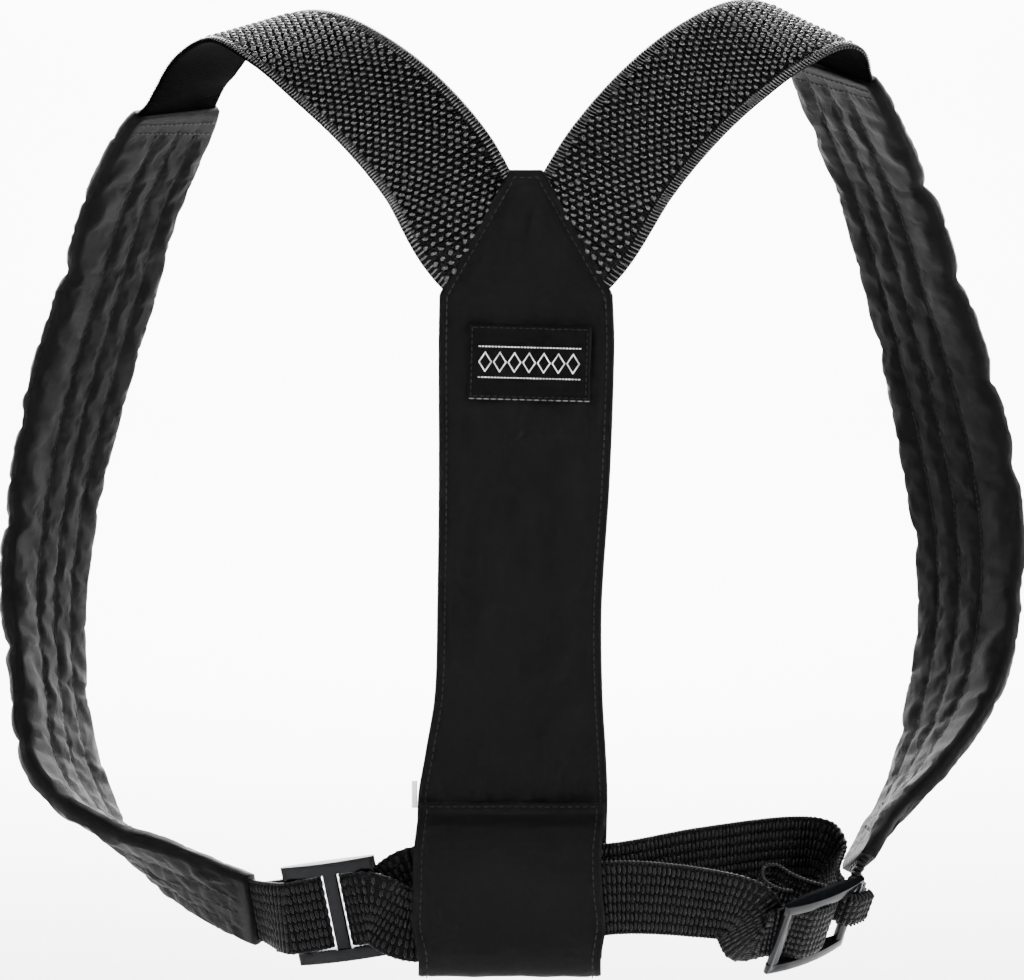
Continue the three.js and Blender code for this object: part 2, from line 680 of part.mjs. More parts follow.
// The belt: its back layer from the right slider through the tunnel to the left slider, round that
// slider's inner bar, and its front layer back through the tunnel and over the right slider's middle
// bar to the curled free end
function beltRoute(leftSlider, rightSlider) {
  const inTunnel = (row, facing) => ({
    at: new THREE.Vector3(
      row.across * panelHalfWidth,
      -(panelThickness + seatGap + webbingThickness / 2 + row.out * tunnelDepth),
      -(panelDrop - row.rise * tunnelHeight),
    ),
    face: new THREE.Vector3(0, facing, 0),
  });
  const besideRightSlider = (row) => besideSlider(
    rightSlider, row.along * sliderLength, row.out * sliderLength, row.faceAlong, row.faceOut);
  const turn = {
    outward: 1, start: -1, facing: -1, thickness: webbingThickness, slack: beltSlack, rise: 0,
  };
  const stations = [
    ...beltStartRows.map(besideRightSlider),
    ...beltBackRows.map(beltStation),
    ...tunnelBackRows.map((row) => inTunnel(row, 1)),
    ...barWrap(leftSlider, turn).slice(0, -1),
    ...tunnelFrontRows.map((row) => inTunnel(row, -1)),
    ...beltFrontRows.map(beltStation),
    ...tailRows.map(besideRightSlider),
  ];
  return new BandRoute(stations);
}

function belt(leftSlider, rightSlider) {
  const route = beltRoute(leftSlider, rightSlider);
  return piece('belt', band(route, 0, route.length, webbingWidth, webbingThickness, wrapStep), webbing);
}

// A flat shape stood up along Z between two heights
function upright(shape, low, high) {
  const geometry = new THREE.ExtrudeGeometry(shape, {
    depth: high - low,
    bevelEnabled: false,
    curveSegments: 8,
  });
  geometry.translate(0, 0, low);
  return toSolid(geometry);
}

// A bar's rounded section, seen along the bar
function barShape(centre, width) {
  const x = centre - width / 2;
  const y = -barThickness / 2;
  const right = x + width;
  const far = y + barThickness;
  const shape = new THREE.Shape();
  shape.moveTo(x + barRounding, y);
  shape.lineTo(right - barRounding, y);
  shape.quadraticCurveTo(right, y, right, y + barRounding);
  shape.lineTo(right, far - barRounding);
  shape.quadraticCurveTo(right, far, right - barRounding, far);
  shape.lineTo(x + barRounding, far);
  shape.quadraticCurveTo(x, far, x, far - barRounding);
  shape.lineTo(x, y + barRounding);
  shape.quadraticCurveTo(x, y, x + barRounding, y);
  return shape;
}

// A side rail's outline, seen from above: thick in the middle and thin at both ends
function railShape() {
  const half = sliderLength / 2;
  const end = railEndThickness / 2;
  const shape = new THREE.Shape();
  shape.moveTo(-half, -end);
  shape.quadraticCurveTo(0, -end - railBulge, half, -end);
  shape.quadraticCurveTo(half + end, 0, half, end);
  shape.quadraticCurveTo(0, end + railInnerBulge, -half, end);
  shape.quadraticCurveTo(-half - end, 0, -half, -end);
  return shape;
}

// A slider: two rails joined by three bars, in its own frame with its front towards -Y
function slider(name, frame) {
  const inside = webbingWidth / 2 + railClearance;
  const barReach = inside + railWidth / 2;
  const endBar = (sliderLength - endBarWidth) / 2;
  let solid = upright(railShape(), inside, inside + railWidth);
  solid = solid.add(upright(railShape(), -inside - railWidth, -inside));
  solid = solid.add(upright(barShape(-endBar, endBarWidth), -barReach, barReach));
  solid = solid.add(upright(barShape(0, middleBarWidth), -barReach, barReach));
  solid = solid.add(upright(barShape(endBar, endBarWidth), -barReach, barReach));
  const mesh = piece(name, toGeometry(solid), plastic);
  const behind = frame.front.clone().negate();
  mesh.position.copy(frame.centre);
  mesh.quaternion.setFromRotationMatrix(new THREE.Matrix4().makeBasis(frame.length, behind, frame.up));
  return mesh;
}

// The label, flat on the panel's front
function label() {
  const mesh = piece('label', new THREE.BoxGeometry(labelWidth, labelThickness, labelHeight), labelSatin);
  mesh.position.set(labelShift, -(panelThickness + seatGap + labelThickness / 2), -labelDrop);
  mesh.rotation.y = THREE.MathUtils.degToRad(labelTilt);
  return mesh;
}

// The folded tag at the panel's left edge
function careTag() {
  const edge = -panelEdge(-1, -tagDrop);
  const mesh = piece('care_tag', new THREE.BoxGeometry(tagReach, tagThickness, tagHeight), tagSatin);
  mesh.position.set(edge - seatGap - tagReach / 2, -panelThickness / 2, -tagDrop);
  return mesh;
}

const leftSlider = sliderFrame(leftSliderPlace);
const rightSlider = sliderFrame(rightSliderPlace);
const leftRoute = harnessRoute(-1, leftShoulderRows, leftSideRows, leftPadFoot, leftSlider);
const rightRoute = harnessRoute(1, rightShoulderRows, rightSideRows, rightPadFoot, rightSlider);

const harness = new THREE.Group();
harness.add(backPanel([leftRoute, rightRoute]));
harness.add(panelLoop());
harness.add(label());
harness.add(careTag());
harness.add(shoulderStrap('shoulder_strap_left', leftRoute));
harness.add(shoulderStrap('shoulder_strap_right', rightRoute));
harness.add(pad('pad_left', leftRoute, leftDents));
harness.add(pad('pad_right', rightRoute, rightDents));
harness.add(endStrap('end_strap_left', leftRoute));
harness.add(endStrap('end_strap_right', rightRoute));
harness.add(belt(leftSlider, rightSlider));
harness.add(slider('buckle_left', leftSlider));
harness.add(slider('buckle_right', rightSlider));

export default harness;
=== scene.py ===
import math

import bmesh
import bpy
import numpy as np
from mathutils import Matrix, Vector, noise


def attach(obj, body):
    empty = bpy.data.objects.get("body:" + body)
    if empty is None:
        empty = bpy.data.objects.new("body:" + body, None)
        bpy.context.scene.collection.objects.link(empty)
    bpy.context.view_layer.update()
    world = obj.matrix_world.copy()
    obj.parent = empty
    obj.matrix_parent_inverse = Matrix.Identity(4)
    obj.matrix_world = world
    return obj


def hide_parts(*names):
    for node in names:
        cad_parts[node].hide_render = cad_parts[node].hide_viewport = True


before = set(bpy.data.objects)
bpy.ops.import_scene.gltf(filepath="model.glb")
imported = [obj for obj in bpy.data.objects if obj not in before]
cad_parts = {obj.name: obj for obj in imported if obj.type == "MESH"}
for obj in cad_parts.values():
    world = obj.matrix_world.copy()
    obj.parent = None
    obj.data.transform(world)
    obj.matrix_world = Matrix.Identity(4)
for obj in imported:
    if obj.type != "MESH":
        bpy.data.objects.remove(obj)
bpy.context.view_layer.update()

print("frame loaded")

# Lengths are metres, in the frame of the solids. The wearer looks along +Y.

harness = {
    "sideReach": 0.21,
    "chestDepth": 0.12,
    "shoulderRise": 0.087,
    "armDrop": 0.277,
    "clothGap": 0.0003,
    "wrapGap": 0.0006,
    "seamDepth": 0.012,
    "yokeSeamDepth": 0.02,
}

panel = {
    "halfWidth": 0.035,
    "thickness": 0.006,
    "drop": 0.3,
    "yokeRise": 0.026,
    "yokeDrop": 0.024,
    "yokeTopWidth": 0.013,
    "foldRoom": 0.004,
    "edgeRoll": 0.0014,      # half the thickness of the bound edge
    "edgeWidth": 0.0012,
    "yokeSlope": 0.869,      # across the yoke's edge for each metre along X
    "topRound": 0.0015,
    "swellWidth": 0.01,      # over which the wadding reaches its full thickness
    "grooveWidth": 0.0007,
    "stitchInset": 0.0032,
    "grooveHalf": 0.00115,
    "strapRoom": 0.0022,       # half the thickness that the sewn-in elastic needs
    "columns": 56,
    "rows": 190,
    "pucker": 0.0005,
    "softFold": 0.0026,
}

facing = {
    "thickness": 0.0016,
    "height": 0.07,
    "depth": 0.01,
    "foldRise": 0.003,
    "hemHeight": 0.014,
    "columns": 44,
    "rows": 90,
    "wrinkle": 0.0007,
    "hemInset": 0.0035,      # of the stitch line along both sides
}

strap = {"width": 0.05, "thickness": 0.0018, "step": 0.0025, "selvedge": 0.0048}
beads = {"pitch": 0.0037, "rowPitch": 0.0026, "length": 0.0034, "width": 0.0023, "height": 0.0025,
         "ribPitch": 0.0015}

pads = {
    "width": 0.058,
    "thickness": 0.009,
    "endThickness": 0.0064,
    "seams": (0.0, 0.35, 0.57, 0.78, 1.0),  # shares of the width from the outer edge
    "channelColumns": 10,
    "quiltDepth": 0.34,
    "step": 0.0024,
    "dentDepth": 0.0034,
    "dentLength": 0.0065,
    "wrinkle": 0.001,
    "pucker": 0.0006,
    "foldDepth": 0.0013,
    "foldLength": 0.0018,
    "ease": 0.02,            # by which the cover is longer than its wadding
    "pressure": 3.0,
    "bending": 0.02,
    "frames": 18,
    "reach": 0.005,          # the furthest that the simulation moves a point
    "clothWeight": 0.15,
    "stretch": 12,
    "shear": 4,
}

belt = {"width": 0.03, "thickness": 0.0018, "step": 0.0014, "slack": 0.009, "edgePitch": 0.0016,
        "yarnPitch": 0.0019, "yarnLength": 0.0039}
leftFoot = {"width": 0.034, "strapWidth": 0.03, "strapThickness": 0.0018, "rise": 0.0, "start": 1,
            "slack": 0.009, "turnback": 0.009}
rightFoot = {"width": 0.03, "strapWidth": 0.017, "strapThickness": 0.0036, "rise": 0.006, "start": -1,
             "slack": 0.0, "turnback": 0.0015}

slider = {"length": 0.039, "endBar": 0.0045, "barThickness": 0.0032, "bevel": 0.0009}
leftSliderPlace = {"across": -0.366, "deep": -0.045, "fall": 0.99, "length": (0.955, -0.24, 0.17),
                   "up": (-0.22, -0.06, 0.97)}
rightSliderPlace = {"across": 0.566, "deep": 0.13, "fall": 1.026, "length": (0.82, 0.5, 0.21),
                    "up": (0.22, -0.57, 0.78)}

# fall, left edge, right edge
panelRows = [(0.08, 1.0, 1.0), (0.15, 1.01, 1.02), (0.33, 1.01, 0.97), (0.5, 1.03, 0.88), (0.62, 1.06, 0.89),
             (0.7, 1.17, 0.93), (0.77, 1.26, 0.95), (1.0, 1.25, 0.88)]
# out, fall, left edge, right edge
facingRows = [(0.0, 0.0, 1.24, 0.92), (0.02, 0.06, 1.25, 0.92), (0.5, 0.14, 1.27, 0.9),
              (0.92, 0.28, 1.3, 0.87),
              (1.0, 0.5, 1.31, 0.88), (1.0, 0.7, 1.32, 0.92), (0.97, 0.88, 1.25, 0.87)]
# across, deep, rise, and the way the outer face looks
leftShoulderRows = [(0.005, 0.06, 0.315, 0.0, -0.97, 0.24), (0.115, 0.17, 0.575, -0.02, -0.9, 0.43),
                    (0.235, 0.28, 0.78, -0.08, -0.74, 0.66), (0.35, 0.38, 0.93, -0.16, -0.46, 0.87),
                    (0.455, 0.5, 0.985, -0.3, -0.06, 0.95), (0.545, 0.63, 0.88, -0.54, 0.3, 0.79),
                    (0.605, 0.73, 0.73, -0.73, 0.48, 0.5)]
rightShoulderRows = [(0.02, 0.06, 0.33, 0.0, -0.98, 0.2), (0.135, 0.17, 0.6, 0.0, -0.93, 0.36),
                     (0.25, 0.28, 0.8, 0.04, -0.83, 0.55), (0.375, 0.38, 0.95, 0.1, -0.64, 0.76),
                     (0.485, 0.5, 0.985, 0.3, -0.2, 0.93)]
# across, deep, fall, and the way the outer face looks
leftSideRows = [(0.71, 0.8, -0.19, -0.8, 0.55, 0.25), (0.805, 0.915, -0.053, -0.8, 0.59, 0.08),
                (0.873, 0.98, 0.103, -0.8, 0.6, 0.03), (0.937, 1.0, 0.261, -0.81, 0.58, 0.0),
                (0.98, 0.965, 0.418, -0.86, 0.51, -0.02), (0.998, 0.89, 0.573, -0.89, 0.45, -0.06),
                (0.975, 0.75, 0.722, -0.9, 0.36, -0.16), (0.945, 0.615, 0.812, -0.84, 0.36, -0.38),
                (0.885, 0.48, 0.878, -0.78, 0.14, -0.58), (0.785, 0.34, 0.927, -0.64, -0.22, -0.72),
                (0.655, 0.2, 0.967, -0.42, -0.62, -0.64), (0.53, 0.07, 0.998, -0.24, -0.86, -0.44)]
rightSideRows = [(0.615, 0.64, -0.255, 0.66, 0.3, 0.7), (0.685, 0.79, -0.15, 0.78, 0.54, 0.34),
                 (0.746, 0.9, -0.053, 0.8, 0.59, 0.1), (0.813, 0.97, 0.103, 0.8, 0.6, 0.02),
                 (0.872, 0.98, 0.261, 0.73, 0.68, 0.0), (0.914, 0.95, 0.418, 0.7, 0.71, -0.02),
                 (0.92, 0.85, 0.573, 0.76, 0.64, -0.08), (0.872, 0.67, 0.72, 0.8, 0.54, -0.26),
                 (0.782, 0.47, 0.835, 0.84, 0.2, -0.46), (0.706, 0.34, 0.893, 0.84, 0.04, -0.5),
                 (0.66, 0.24, 0.942, 0.82, -0.06, -0.54)]
# along, wide, thick
padRows = [(0.0, 0.8, 0.0), (0.015, 0.94, 0.15), (0.05, 1.0, 0.8), (0.1, 1.0, 1.0), (0.7, 1.0, 1.0),
           (0.88, 0.55, 0.8),
           (0.96, 0.15, 0.2), (1.0, 0.0, 0.0)]
beltBackRows = [(0.608, 0.28, 0.977, 1.0, -0.1, -0.3), (0.606, 0.345, 0.947, 0.8, 0.6, 0.0),
                (0.585, 0.375, 0.937, 0.1, 1.0, 0.0), (0.53, 0.33, 0.931, -0.3, 0.95, 0.0),
                (0.34, 0.09, 0.931, -0.3, 0.95, 0.0)]
# across, out, rise
tunnelBackRows = [(0.95, 0.0, 0.55), (-0.2, 0.0, 0.55), (-0.9, 0.03, 0.54), (-1.3, 0.08, 0.53)]
tunnelFrontRows = [(-1.35, 0.57, 0.305), (-0.6, 0.48, 0.325), (0.2, 0.53, 0.38), (0.95, 0.6, 0.46)]
beltFrontRows = [(0.33, -0.05, 0.978, 0.12, -0.97, -0.2), (0.42, -0.02, 0.995, 0.3, -0.86, -0.42)]
# along, out, and how the face looks along and out from the slider
beltStartRows = [(0.359, -0.169, 0.1, 1.0), (0.436, -0.195, 0.6, 0.8)]
tailRows = [(-0.66, -0.14, 0.0, 1.0), (-0.44, -0.08, -0.1, 1.0), (-0.27, -0.02, -0.6, 0.8),
            (-0.15, 0.07, -0.4, 0.9),
            (0.0, 0.09, 0.0, 1.0), (0.14, 0.055, 0.6, 0.8), (0.21, -0.04, 1.0, 0.1), (0.16, -0.17, 0.9, -0.4),
            (0.03, -0.3, 0.7, -0.7), (-0.08, -0.46, 0.9, -0.4), (-0.16, -0.62, 0.5, -0.9),
            (-0.3, -0.65, -0.4, -0.9),
            (-0.4, -0.5, -1.0, 0.0), (-0.32, -0.33, -0.7, 0.7), (-0.2, -0.24, -0.6, 0.8)]
# along, side, deep
leftDents = [(0.19, 1, 1.0), (0.36, 1, 0.5), (0.46, 1, 0.9), (0.59, 1, 0.9), (0.62, -1, 0.6), (0.7, 1, 0.8),
             (0.78, -1, 0.7), (0.85, 1, 0.6)]
rightDents = [(0.09, -1, 0.8), (0.16, 1, 1.0), (0.28, 1, 0.9), (0.34, -1, 0.7), (0.4, 1, 0.9), (0.5, 1, 0.8),
              (0.56, -1, 0.7), (0.64, 1, 0.6), (0.8, -1, 0.6)]


stationSteps = 20     # points of a route between two of its stations


# Curves and bands

def alongLine(line):
    # the distance from the first point of a line to each of its points
    return np.concatenate([[0], np.cumsum(np.linalg.norm(np.diff(line, axis=0), axis=1))])


def unit(v):
    v = np.asarray(v, float)
    return v / np.maximum(np.linalg.norm(v, axis=-1, keepdims=True), 1e-12)


def splinePoints(points, t, centripetal):
    points = np.asarray(points, float)
    ends = [2 * points[0] - points[1], *points, 2 * points[-1] - points[-2]]
    ends = np.array(ends)
    spot = np.clip(np.asarray(t, float), 0, 1) * (len(points) - 1)
    k = np.minimum(spot.astype(int), len(points) - 2)
    w = (spot - k)[:, None]
    p0, p1, p2, p3 = ends[k], ends[k + 1], ends[k + 2], ends[k + 3]
    if centripetal:
        d0, d1, d2 = (np.sqrt(np.linalg.norm(b - a, axis=1))[:, None]
                      for a, b in ((p0, p1), (p1, p2), (p2, p3)))
        m1 = ((p1 - p0) / d0 - (p2 - p0) / (d0 + d1) + (p2 - p1) / d1) * d1
        m2 = ((p2 - p1) / d1 - (p3 - p1) / (d1 + d2) + (p3 - p2) / d2) * d1
    else:
        m1, m2 = (p2 - p0) / 2, (p3 - p1) / 2
    return p1 + m1 * w + (-3 * p1 + 3 * p2 - 2 * m1 - m2) * w ** 2 + (2 * p1 - 2 * p2 + m1 + m2) * w ** 3


class Route:
    # a flat band's way through space: its middle line and the way its outer face looks
    def __init__(self, stations):
        self.places = [np.asarray(s[0], float) for s in stations]
        self.faces = [np.asarray(s[1], float) for s in stations]
        self.t = np.linspace(0, 1, (len(stations) - 1) * stationSteps + 1)
        line = splinePoints(self.places, self.t, True)
        self.lengths = alongLine(line)
        self.length = self.lengths[-1]

    def distanceOf(self, station):
        return self.lengths[station * stationSteps]

    def frames(self, distances):
        distances = np.asarray(distances, float)
        held = np.clip(distances, 0, self.length)
        t = np.interp(held, self.lengths, self.t)
        low, high = np.clip(t - 1e-4, 0, 1), np.clip(t + 1e-4, 0, 1)
        along = unit(splinePoints(self.places, high, True) - splinePoints(self.places, low, True))
        at = splinePoints(self.places, t, True) + along * (distances - held)[:, None]
        out = splinePoints(self.faces, t, False)
        out = unit(out - along * np.sum(out * along, axis=1, keepdims=True))
        return at, along, out, np.cross(along, out)


def between(rows, column, at):
    # a smooth value between the rows of a table, read at a share in its first column
    last = len(rows) - 1
    at = np.asarray(at, float)
    key = np.array([r[0] for r in rows])
    value = np.array([r[column] for r in rows])
    slope = np.array([(value[min(k + 1, last)] - value[max(k - 1, 0)]) / (key[min(k + 1, last)]
                                                                          - key[max(k - 1, 0)])
                      for k in range(last + 1)])
    k = np.clip(np.searchsorted(key, at, side="left") - 1, 0, last - 1)
    span = key[k + 1] - key[k]
    t = np.clip((at - key[k]) / span, 0, 1)
    rise = value[k + 1] - value[k]
    return value[k] + rise * t + t * (1 - t) * ((slope[k] * span - rise) * (1 - t)
                                                + (rise - slope[k + 1] * span) * t)


def sliderFrame(place):
    centre = np.array([place["across"] * harness["sideReach"], place["deep"] * harness["chestDepth"],
                       -place["fall"] * harness["armDrop"]])
    length = unit(place["length"])
    front = unit(np.cross(length, place["up"]))
    return {"centre": centre, "length": length, "front": front, "up": np.cross(front, length)}


def besideSlider(place, along, out, faceAlong, faceOut, rise=0.0):
    at = place["centre"] + place["length"] * along + place["front"] * out + place["up"] * rise
    return at, place["length"] * faceAlong + place["front"] * faceOut


def barWrap(place, outward, start, facingSide, thickness, slack, rise):
    bar = outward * (slider["length"] - slider["endBar"]) / 2
    reach = slider["endBar"] / 2 + harness["wrapGap"] + thickness / 2
    lift = slider["barThickness"] / 2 + harness["wrapGap"] + thickness / 2
    turn = [(reach, 1, 0, 1), (-reach * 0.3, 1, -0.2, 1), (-reach * 0.85 - slack * 0.8, 0.62, -0.8, 0.6),
            (-reach * 1.05 - slack, 0, -1, 0), (-reach * 0.85 - slack * 0.8, -0.62, -0.8, -0.6),
            (-reach * 0.3, -1, -0.2, -1), (reach, -1, 0, -1)]
    return [besideSlider(place, bar + outward * a, start * lift * o, start * facingSide * outward * fa,
                         facingSide * fo, rise)
            for a, o, fa, fo in turn]


def sideStation(row, side=1):
    at = np.array([side * row[0] * harness["sideReach"], row[1] * harness["chestDepth"],
                   -row[2] * harness["armDrop"]])
    return at, np.array(row[3:6])


def harnessRoute(side, shoulderRows, sideRows, foot, place):
    plane = -panel["thickness"] / 2
    corner = np.array([side * panel["halfWidth"], plane, -panel["yokeDrop"]])
    top = np.array([side * panel["yokeTopWidth"] / 2, plane, panel["yokeRise"]])
    seat = (corner + top) / 2
    inward = unit((-side * 0.7, 0, -0.72))
    backward = np.array([0.0, -1.0, 0.0])
    stations = [(seat + inward * harness["yokeSeamDepth"], backward), (seat, backward)]
    for across, deep, rise, x, y, z in shoulderRows:
        reach = panel["halfWidth"] + (harness["sideReach"] - panel["halfWidth"]) * across
        at = np.array([side * reach, plane + (harness["chestDepth"] - plane) * deep,
                       rise * harness["shoulderRise"]])
        stations.append((at, np.array([x, y, z])))
    padFirst = len(stations)
    stations += [sideStation(row, side) for row in sideRows]
    padLast = len(stations) - 1
    wrap = barWrap(place, side, foot["start"], 1, foot["strapThickness"], foot["slack"], foot["rise"])
    stations += wrap
    stations.append((wrap[-1][0] + place["length"] * side * foot["turnback"], wrap[-1][1]))
    route = Route(stations)
    route.padStart, route.padEnd = route.distanceOf(padFirst), route.distanceOf(padLast)
    route.side, route.foot = side, foot
    return route


def beltRoute(left, right):
    def inTunnel(row, look):
        gap = panel["thickness"] + harness["clothGap"] + belt["thickness"] / 2
        at = np.array([row[0] * panel["halfWidth"], -(gap + row[1] * facing["depth"]),
                       -(panel["drop"] - row[2] * facing["height"])])
        return at, np.array([0.0, look, 0.0])

    def besideRight(row):
        return besideSlider(right, row[0] * slider["length"], row[1] * slider["length"], row[2], row[3])

    stations = [besideRight(row) for row in beltStartRows]
    stations += [sideStation(row) for row in beltBackRows]
    stations += [inTunnel(row, 1) for row in tunnelBackRows]
    stations += barWrap(left, 1, -1, -1, belt["thickness"], belt["slack"], 0)[:-1]
    stations += [inTunnel(row, -1) for row in tunnelFrontRows]
    stations += [sideStation(row) for row in beltFrontRows]
    stations += [besideRight(row) for row in tailRows]
    return Route(stations)


# Meshes

def newObject(name, data):
    obj = bpy.data.objects.new(name, data)
    bpy.context.scene.collection.objects.link(obj)
    return obj


def ripple(points, scale, seed=0.0):
    # smooth noise at each point, about -1 to 1, stretched by scale along each axis
    scaled = np.asarray(points) * np.asarray(scale) + seed
    return np.array([noise.noise(Vector(p)) for p in scaled.reshape(-1, 3)]).reshape(scaled.shape[:-1])


def ringMesh(name, rings, u, v, materials, insideFrom=None):
    # a closed skin over rings of points, with a UV map in metres and, past a column, the second material
    rings = np.asarray(rings, float)
    rows, count, _ = rings.shape
    faces = []
    slots = []
    for r in range(rows - 1):
        for c in range(count):
            n = (c + 1) % count
            faces.append((r * count + c, r * count + n, (r + 1) * count + n, (r + 1) * count + c))
            slots.append(1 if insideFrom is not None and c >= insideFrom else 0)
    faces.append(tuple(range(count)))
    faces.append(tuple((rows - 1) * count + c for c in range(count)))
    slots += [0, 0]
    mesh = bpy.data.meshes.new(name)
    mesh.from_pydata([tuple(p) for p in rings.reshape(-1, 3)], [], faces)
    mesh.update()
    layer = mesh.uv_layers.new(name="cloth")
    uv = np.zeros((len(mesh.loops), 2))
    index = np.zeros(len(mesh.loops), int)
    mesh.loops.foreach_get("vertex_index", index)
    uv[:, 0] = np.asarray(u)[index % count]
    uv[:, 1] = np.asarray(v)[index // count]
    layer.data.foreach_set("uv", uv.ravel())
    for m in materials:
        mesh.materials.append(m)
    mesh.polygons.foreach_set("material_index", slots)
    mesh.polygons.foreach_set("use_smooth", [True] * len(mesh.polygons))
    mesh.update()
    obj = newObject(name, mesh)
    bm = bmesh.new()
    bm.from_mesh(mesh)
    bmesh.ops.recalc_face_normals(bm, faces=bm.faces)
    bm.to_mesh(mesh)
    bm.free()
    return obj


def onFrame(f, across, out):
    # points beside a route's middle line
    at, _, outward, sideways = f
    return at + sideways * np.asarray(across)[:, None] + outward * np.asarray(out)[:, None]


def bandPiece(name, route, start, end, width, thickness, step, materials, columns):
    # webbing or elastic between two distances of a route, with rounded edges
    steps = max(3, round((end - start) / step))
    distances = np.linspace(start, end, steps + 1)
    f = route.frames(distances)
    edge = thickness * 0.5
    across = np.linspace(-width / 2 + edge, width / 2 - edge, columns + 1)
    ones = np.ones(len(distances))
    rim = width / 2 - edge * 0.15
    lip = thickness * 0.28
    section = [(a, thickness / 2) for a in across] + [(rim, lip), (rim, -lip)]
    section += [(a, -thickness / 2) for a in across[::-1]] + [(-rim, -lip), (-rim, lip)]
    rings = [onFrame(f, ones * a, ones * b) for a, b in section]
    u = [*across, width / 2, width / 2, *across[::-1], -width / 2, -width / 2]
    rings = np.stack(rings, axis=1)
    return ringMesh(name, rings, u, distances, materials,
                    insideFrom=columns + 2 if len(materials) > 1 else None)


# Repeated small shapes, by Geometry Nodes

def seedMesh(name, places, ways, normals):
    # loose points with the turn of what is set on each: X along the way, Z along the normal
    places, ways, normals = (np.asarray(a, float).reshape(-1, 3) for a in (places, ways, normals))
    mesh = bpy.data.meshes.new(name)
    mesh.from_pydata([tuple(p) for p in places], [], [])
    turn = mesh.attributes.new("turn", "FLOAT_VECTOR", "POINT")
    z = unit(normals)
    x = unit(ways - z * np.sum(ways * z, axis=1, keepdims=True))
    y = np.cross(z, x)
    eulers = [Matrix((a, b, c)).transposed().to_euler() for a, b, c in zip(x, y, z)]
    turn.data.foreach_set("vector", np.array([tuple(e) for e in eulers]).ravel())
    obj = newObject(name, mesh)
    return obj


grainSizes = ("grainLength", "grainWidth", "grainHeight")


def grainTree(name):
    # sets one rounded grain on every seed point
    tree = bpy.data.node_groups.new(name, "GeometryNodeTree")
    sockets = [("Geometry", "INPUT", "Geometry"), *((label, "INPUT", "Float") for label in grainSizes),
               ("sides", "INPUT", "Int"), ("rings", "INPUT", "Int"), ("finish", "INPUT", "Material"),
               ("Geometry", "OUTPUT", "Geometry")]
    for label, way, kind in sockets:
        tree.interface.new_socket(label, in_out=way, socket_type="NodeSocket" + kind)
    given, result, ball, size, shape, smooth, turn, place, real, finish = (tree.nodes.new(kind) for kind in (
        "NodeGroupInput", "NodeGroupOutput", "GeometryNodeMeshUVSphere", "ShaderNodeCombineXYZ",
        "GeometryNodeTransform", "GeometryNodeSetShadeSmooth", "GeometryNodeInputNamedAttribute",
        "GeometryNodeInstanceOnPoints", "GeometryNodeRealizeInstances", "GeometryNodeSetMaterial"))
    ball.inputs["Radius"].default_value = 0.5
    turn.data_type = "FLOAT_VECTOR"
    turn.inputs["Name"].default_value = "turn"
    joins = [(given, label, size, axis) for label, axis in zip(grainSizes, "XYZ")]
    joins += [(given, "sides", ball, "Segments"), (given, "rings", ball, "Rings"),
              (ball, "Mesh", shape, "Geometry"),
              (size, "Vector", shape, "Scale"), (shape, "Geometry", smooth, "Geometry"),
              (given, "Geometry", place, "Points"), (smooth, "Geometry", place, "Instance"),
              (turn, "Attribute", place, "Rotation"), (place, "Instances", real, "Geometry"),
              (real, "Geometry", finish, "Geometry"), (given, "finish", finish, "Material"),
              (finish, "Geometry", result, "Geometry")]
    for source, output, target, socket in joins:
        tree.links.new(source.outputs[output], target.inputs[socket])
    return tree


def grainPiece(name, seeds, tree, size, finish, sides=8, rings=5):
    # the seeds with a grain on each, as one plain mesh
    obj = seedMesh(name, *seeds)
    modifier = obj.modifiers.new("grains", "NODES")
    modifier.node_group = tree
    ids = {item.name: item.identifier for item in tree.interface.items_tree if item.in_out == "INPUT"}
    for label, value in zip(grainSizes, size):
        modifier[ids[label]] = value
    modifier[ids["sides"]] = sides
    modifier[ids["rings"]] = rings
    modifier[ids["finish"]] = finish
    graph = bpy.context.evaluated_depsgraph_get()
    mesh = bpy.data.meshes.new_from_object(obj.evaluated_get(graph))
    obj.modifiers.clear()
    old = obj.data
    obj.data = mesh
    bpy.data.meshes.remove(old)
    mesh.name = name
    return obj


# Finishes

cloth = {"colour": (0.0014, 0.0014, 0.0016), "roughness": 0.46, "specular": 0.07, "threadPitch": 0.00045,
         "bump": 0.55}
elastic = {"colour": (0.0016, 0.0016, 0.0019), "roughness": 0.25, "specular": 0.9, "bump": 0.35}
webbing = {"colour": (0.0008, 0.0008, 0.001), "roughness": 0.46, "specular": 0.06, "ribPitch": 0.0017,
           "bump": 0.8}
plastic = {"colour": (0.0026, 0.003, 0.004), "roughness": 0.22, "specular": 0.13, "grain": 900.0,
           "bump": 0.04}
thread = {"colour": (0.002, 0.002, 0.0023), "roughness": 0.4, "specular": 0.22}
ornament = {"colour": (0.62, 0.62, 0.6), "roughness": 0.45, "sheen": 0.4}
labelSatin = {"colour": (0.001, 0.001, 0.0012), "roughness": 0.42, "specular": 0.06, "threadPitch": 0.0003,
              "bump": 0.2}
tagSatin = {"colour": (0.78, 0.78, 0.76), "roughness": 0.5, "sheen": 0.3, "threadPitch": 0.0004, "bump": 0.2}


def newFinish(name, look):
    mat = bpy.data.materials.new(name)
    mat.use_nodes = True
    shader = mat.node_tree.nodes["Principled BSDF"]
    shader.inputs["Base Color"].default_value = (*look["colour"], 1)
    shader.inputs["Roughness"].default_value = look["roughness"]
    shader.inputs["Sheen Weight"].default_value = look.get("sheen", 0.0)
    shader.inputs["Sheen Roughness"].default_value = 0.45
    shader.inputs["Specular IOR Level"].default_value = look.get("specular", 0.5)
    return mat, mat.node_tree.nodes, mat.node_tree.links, shader


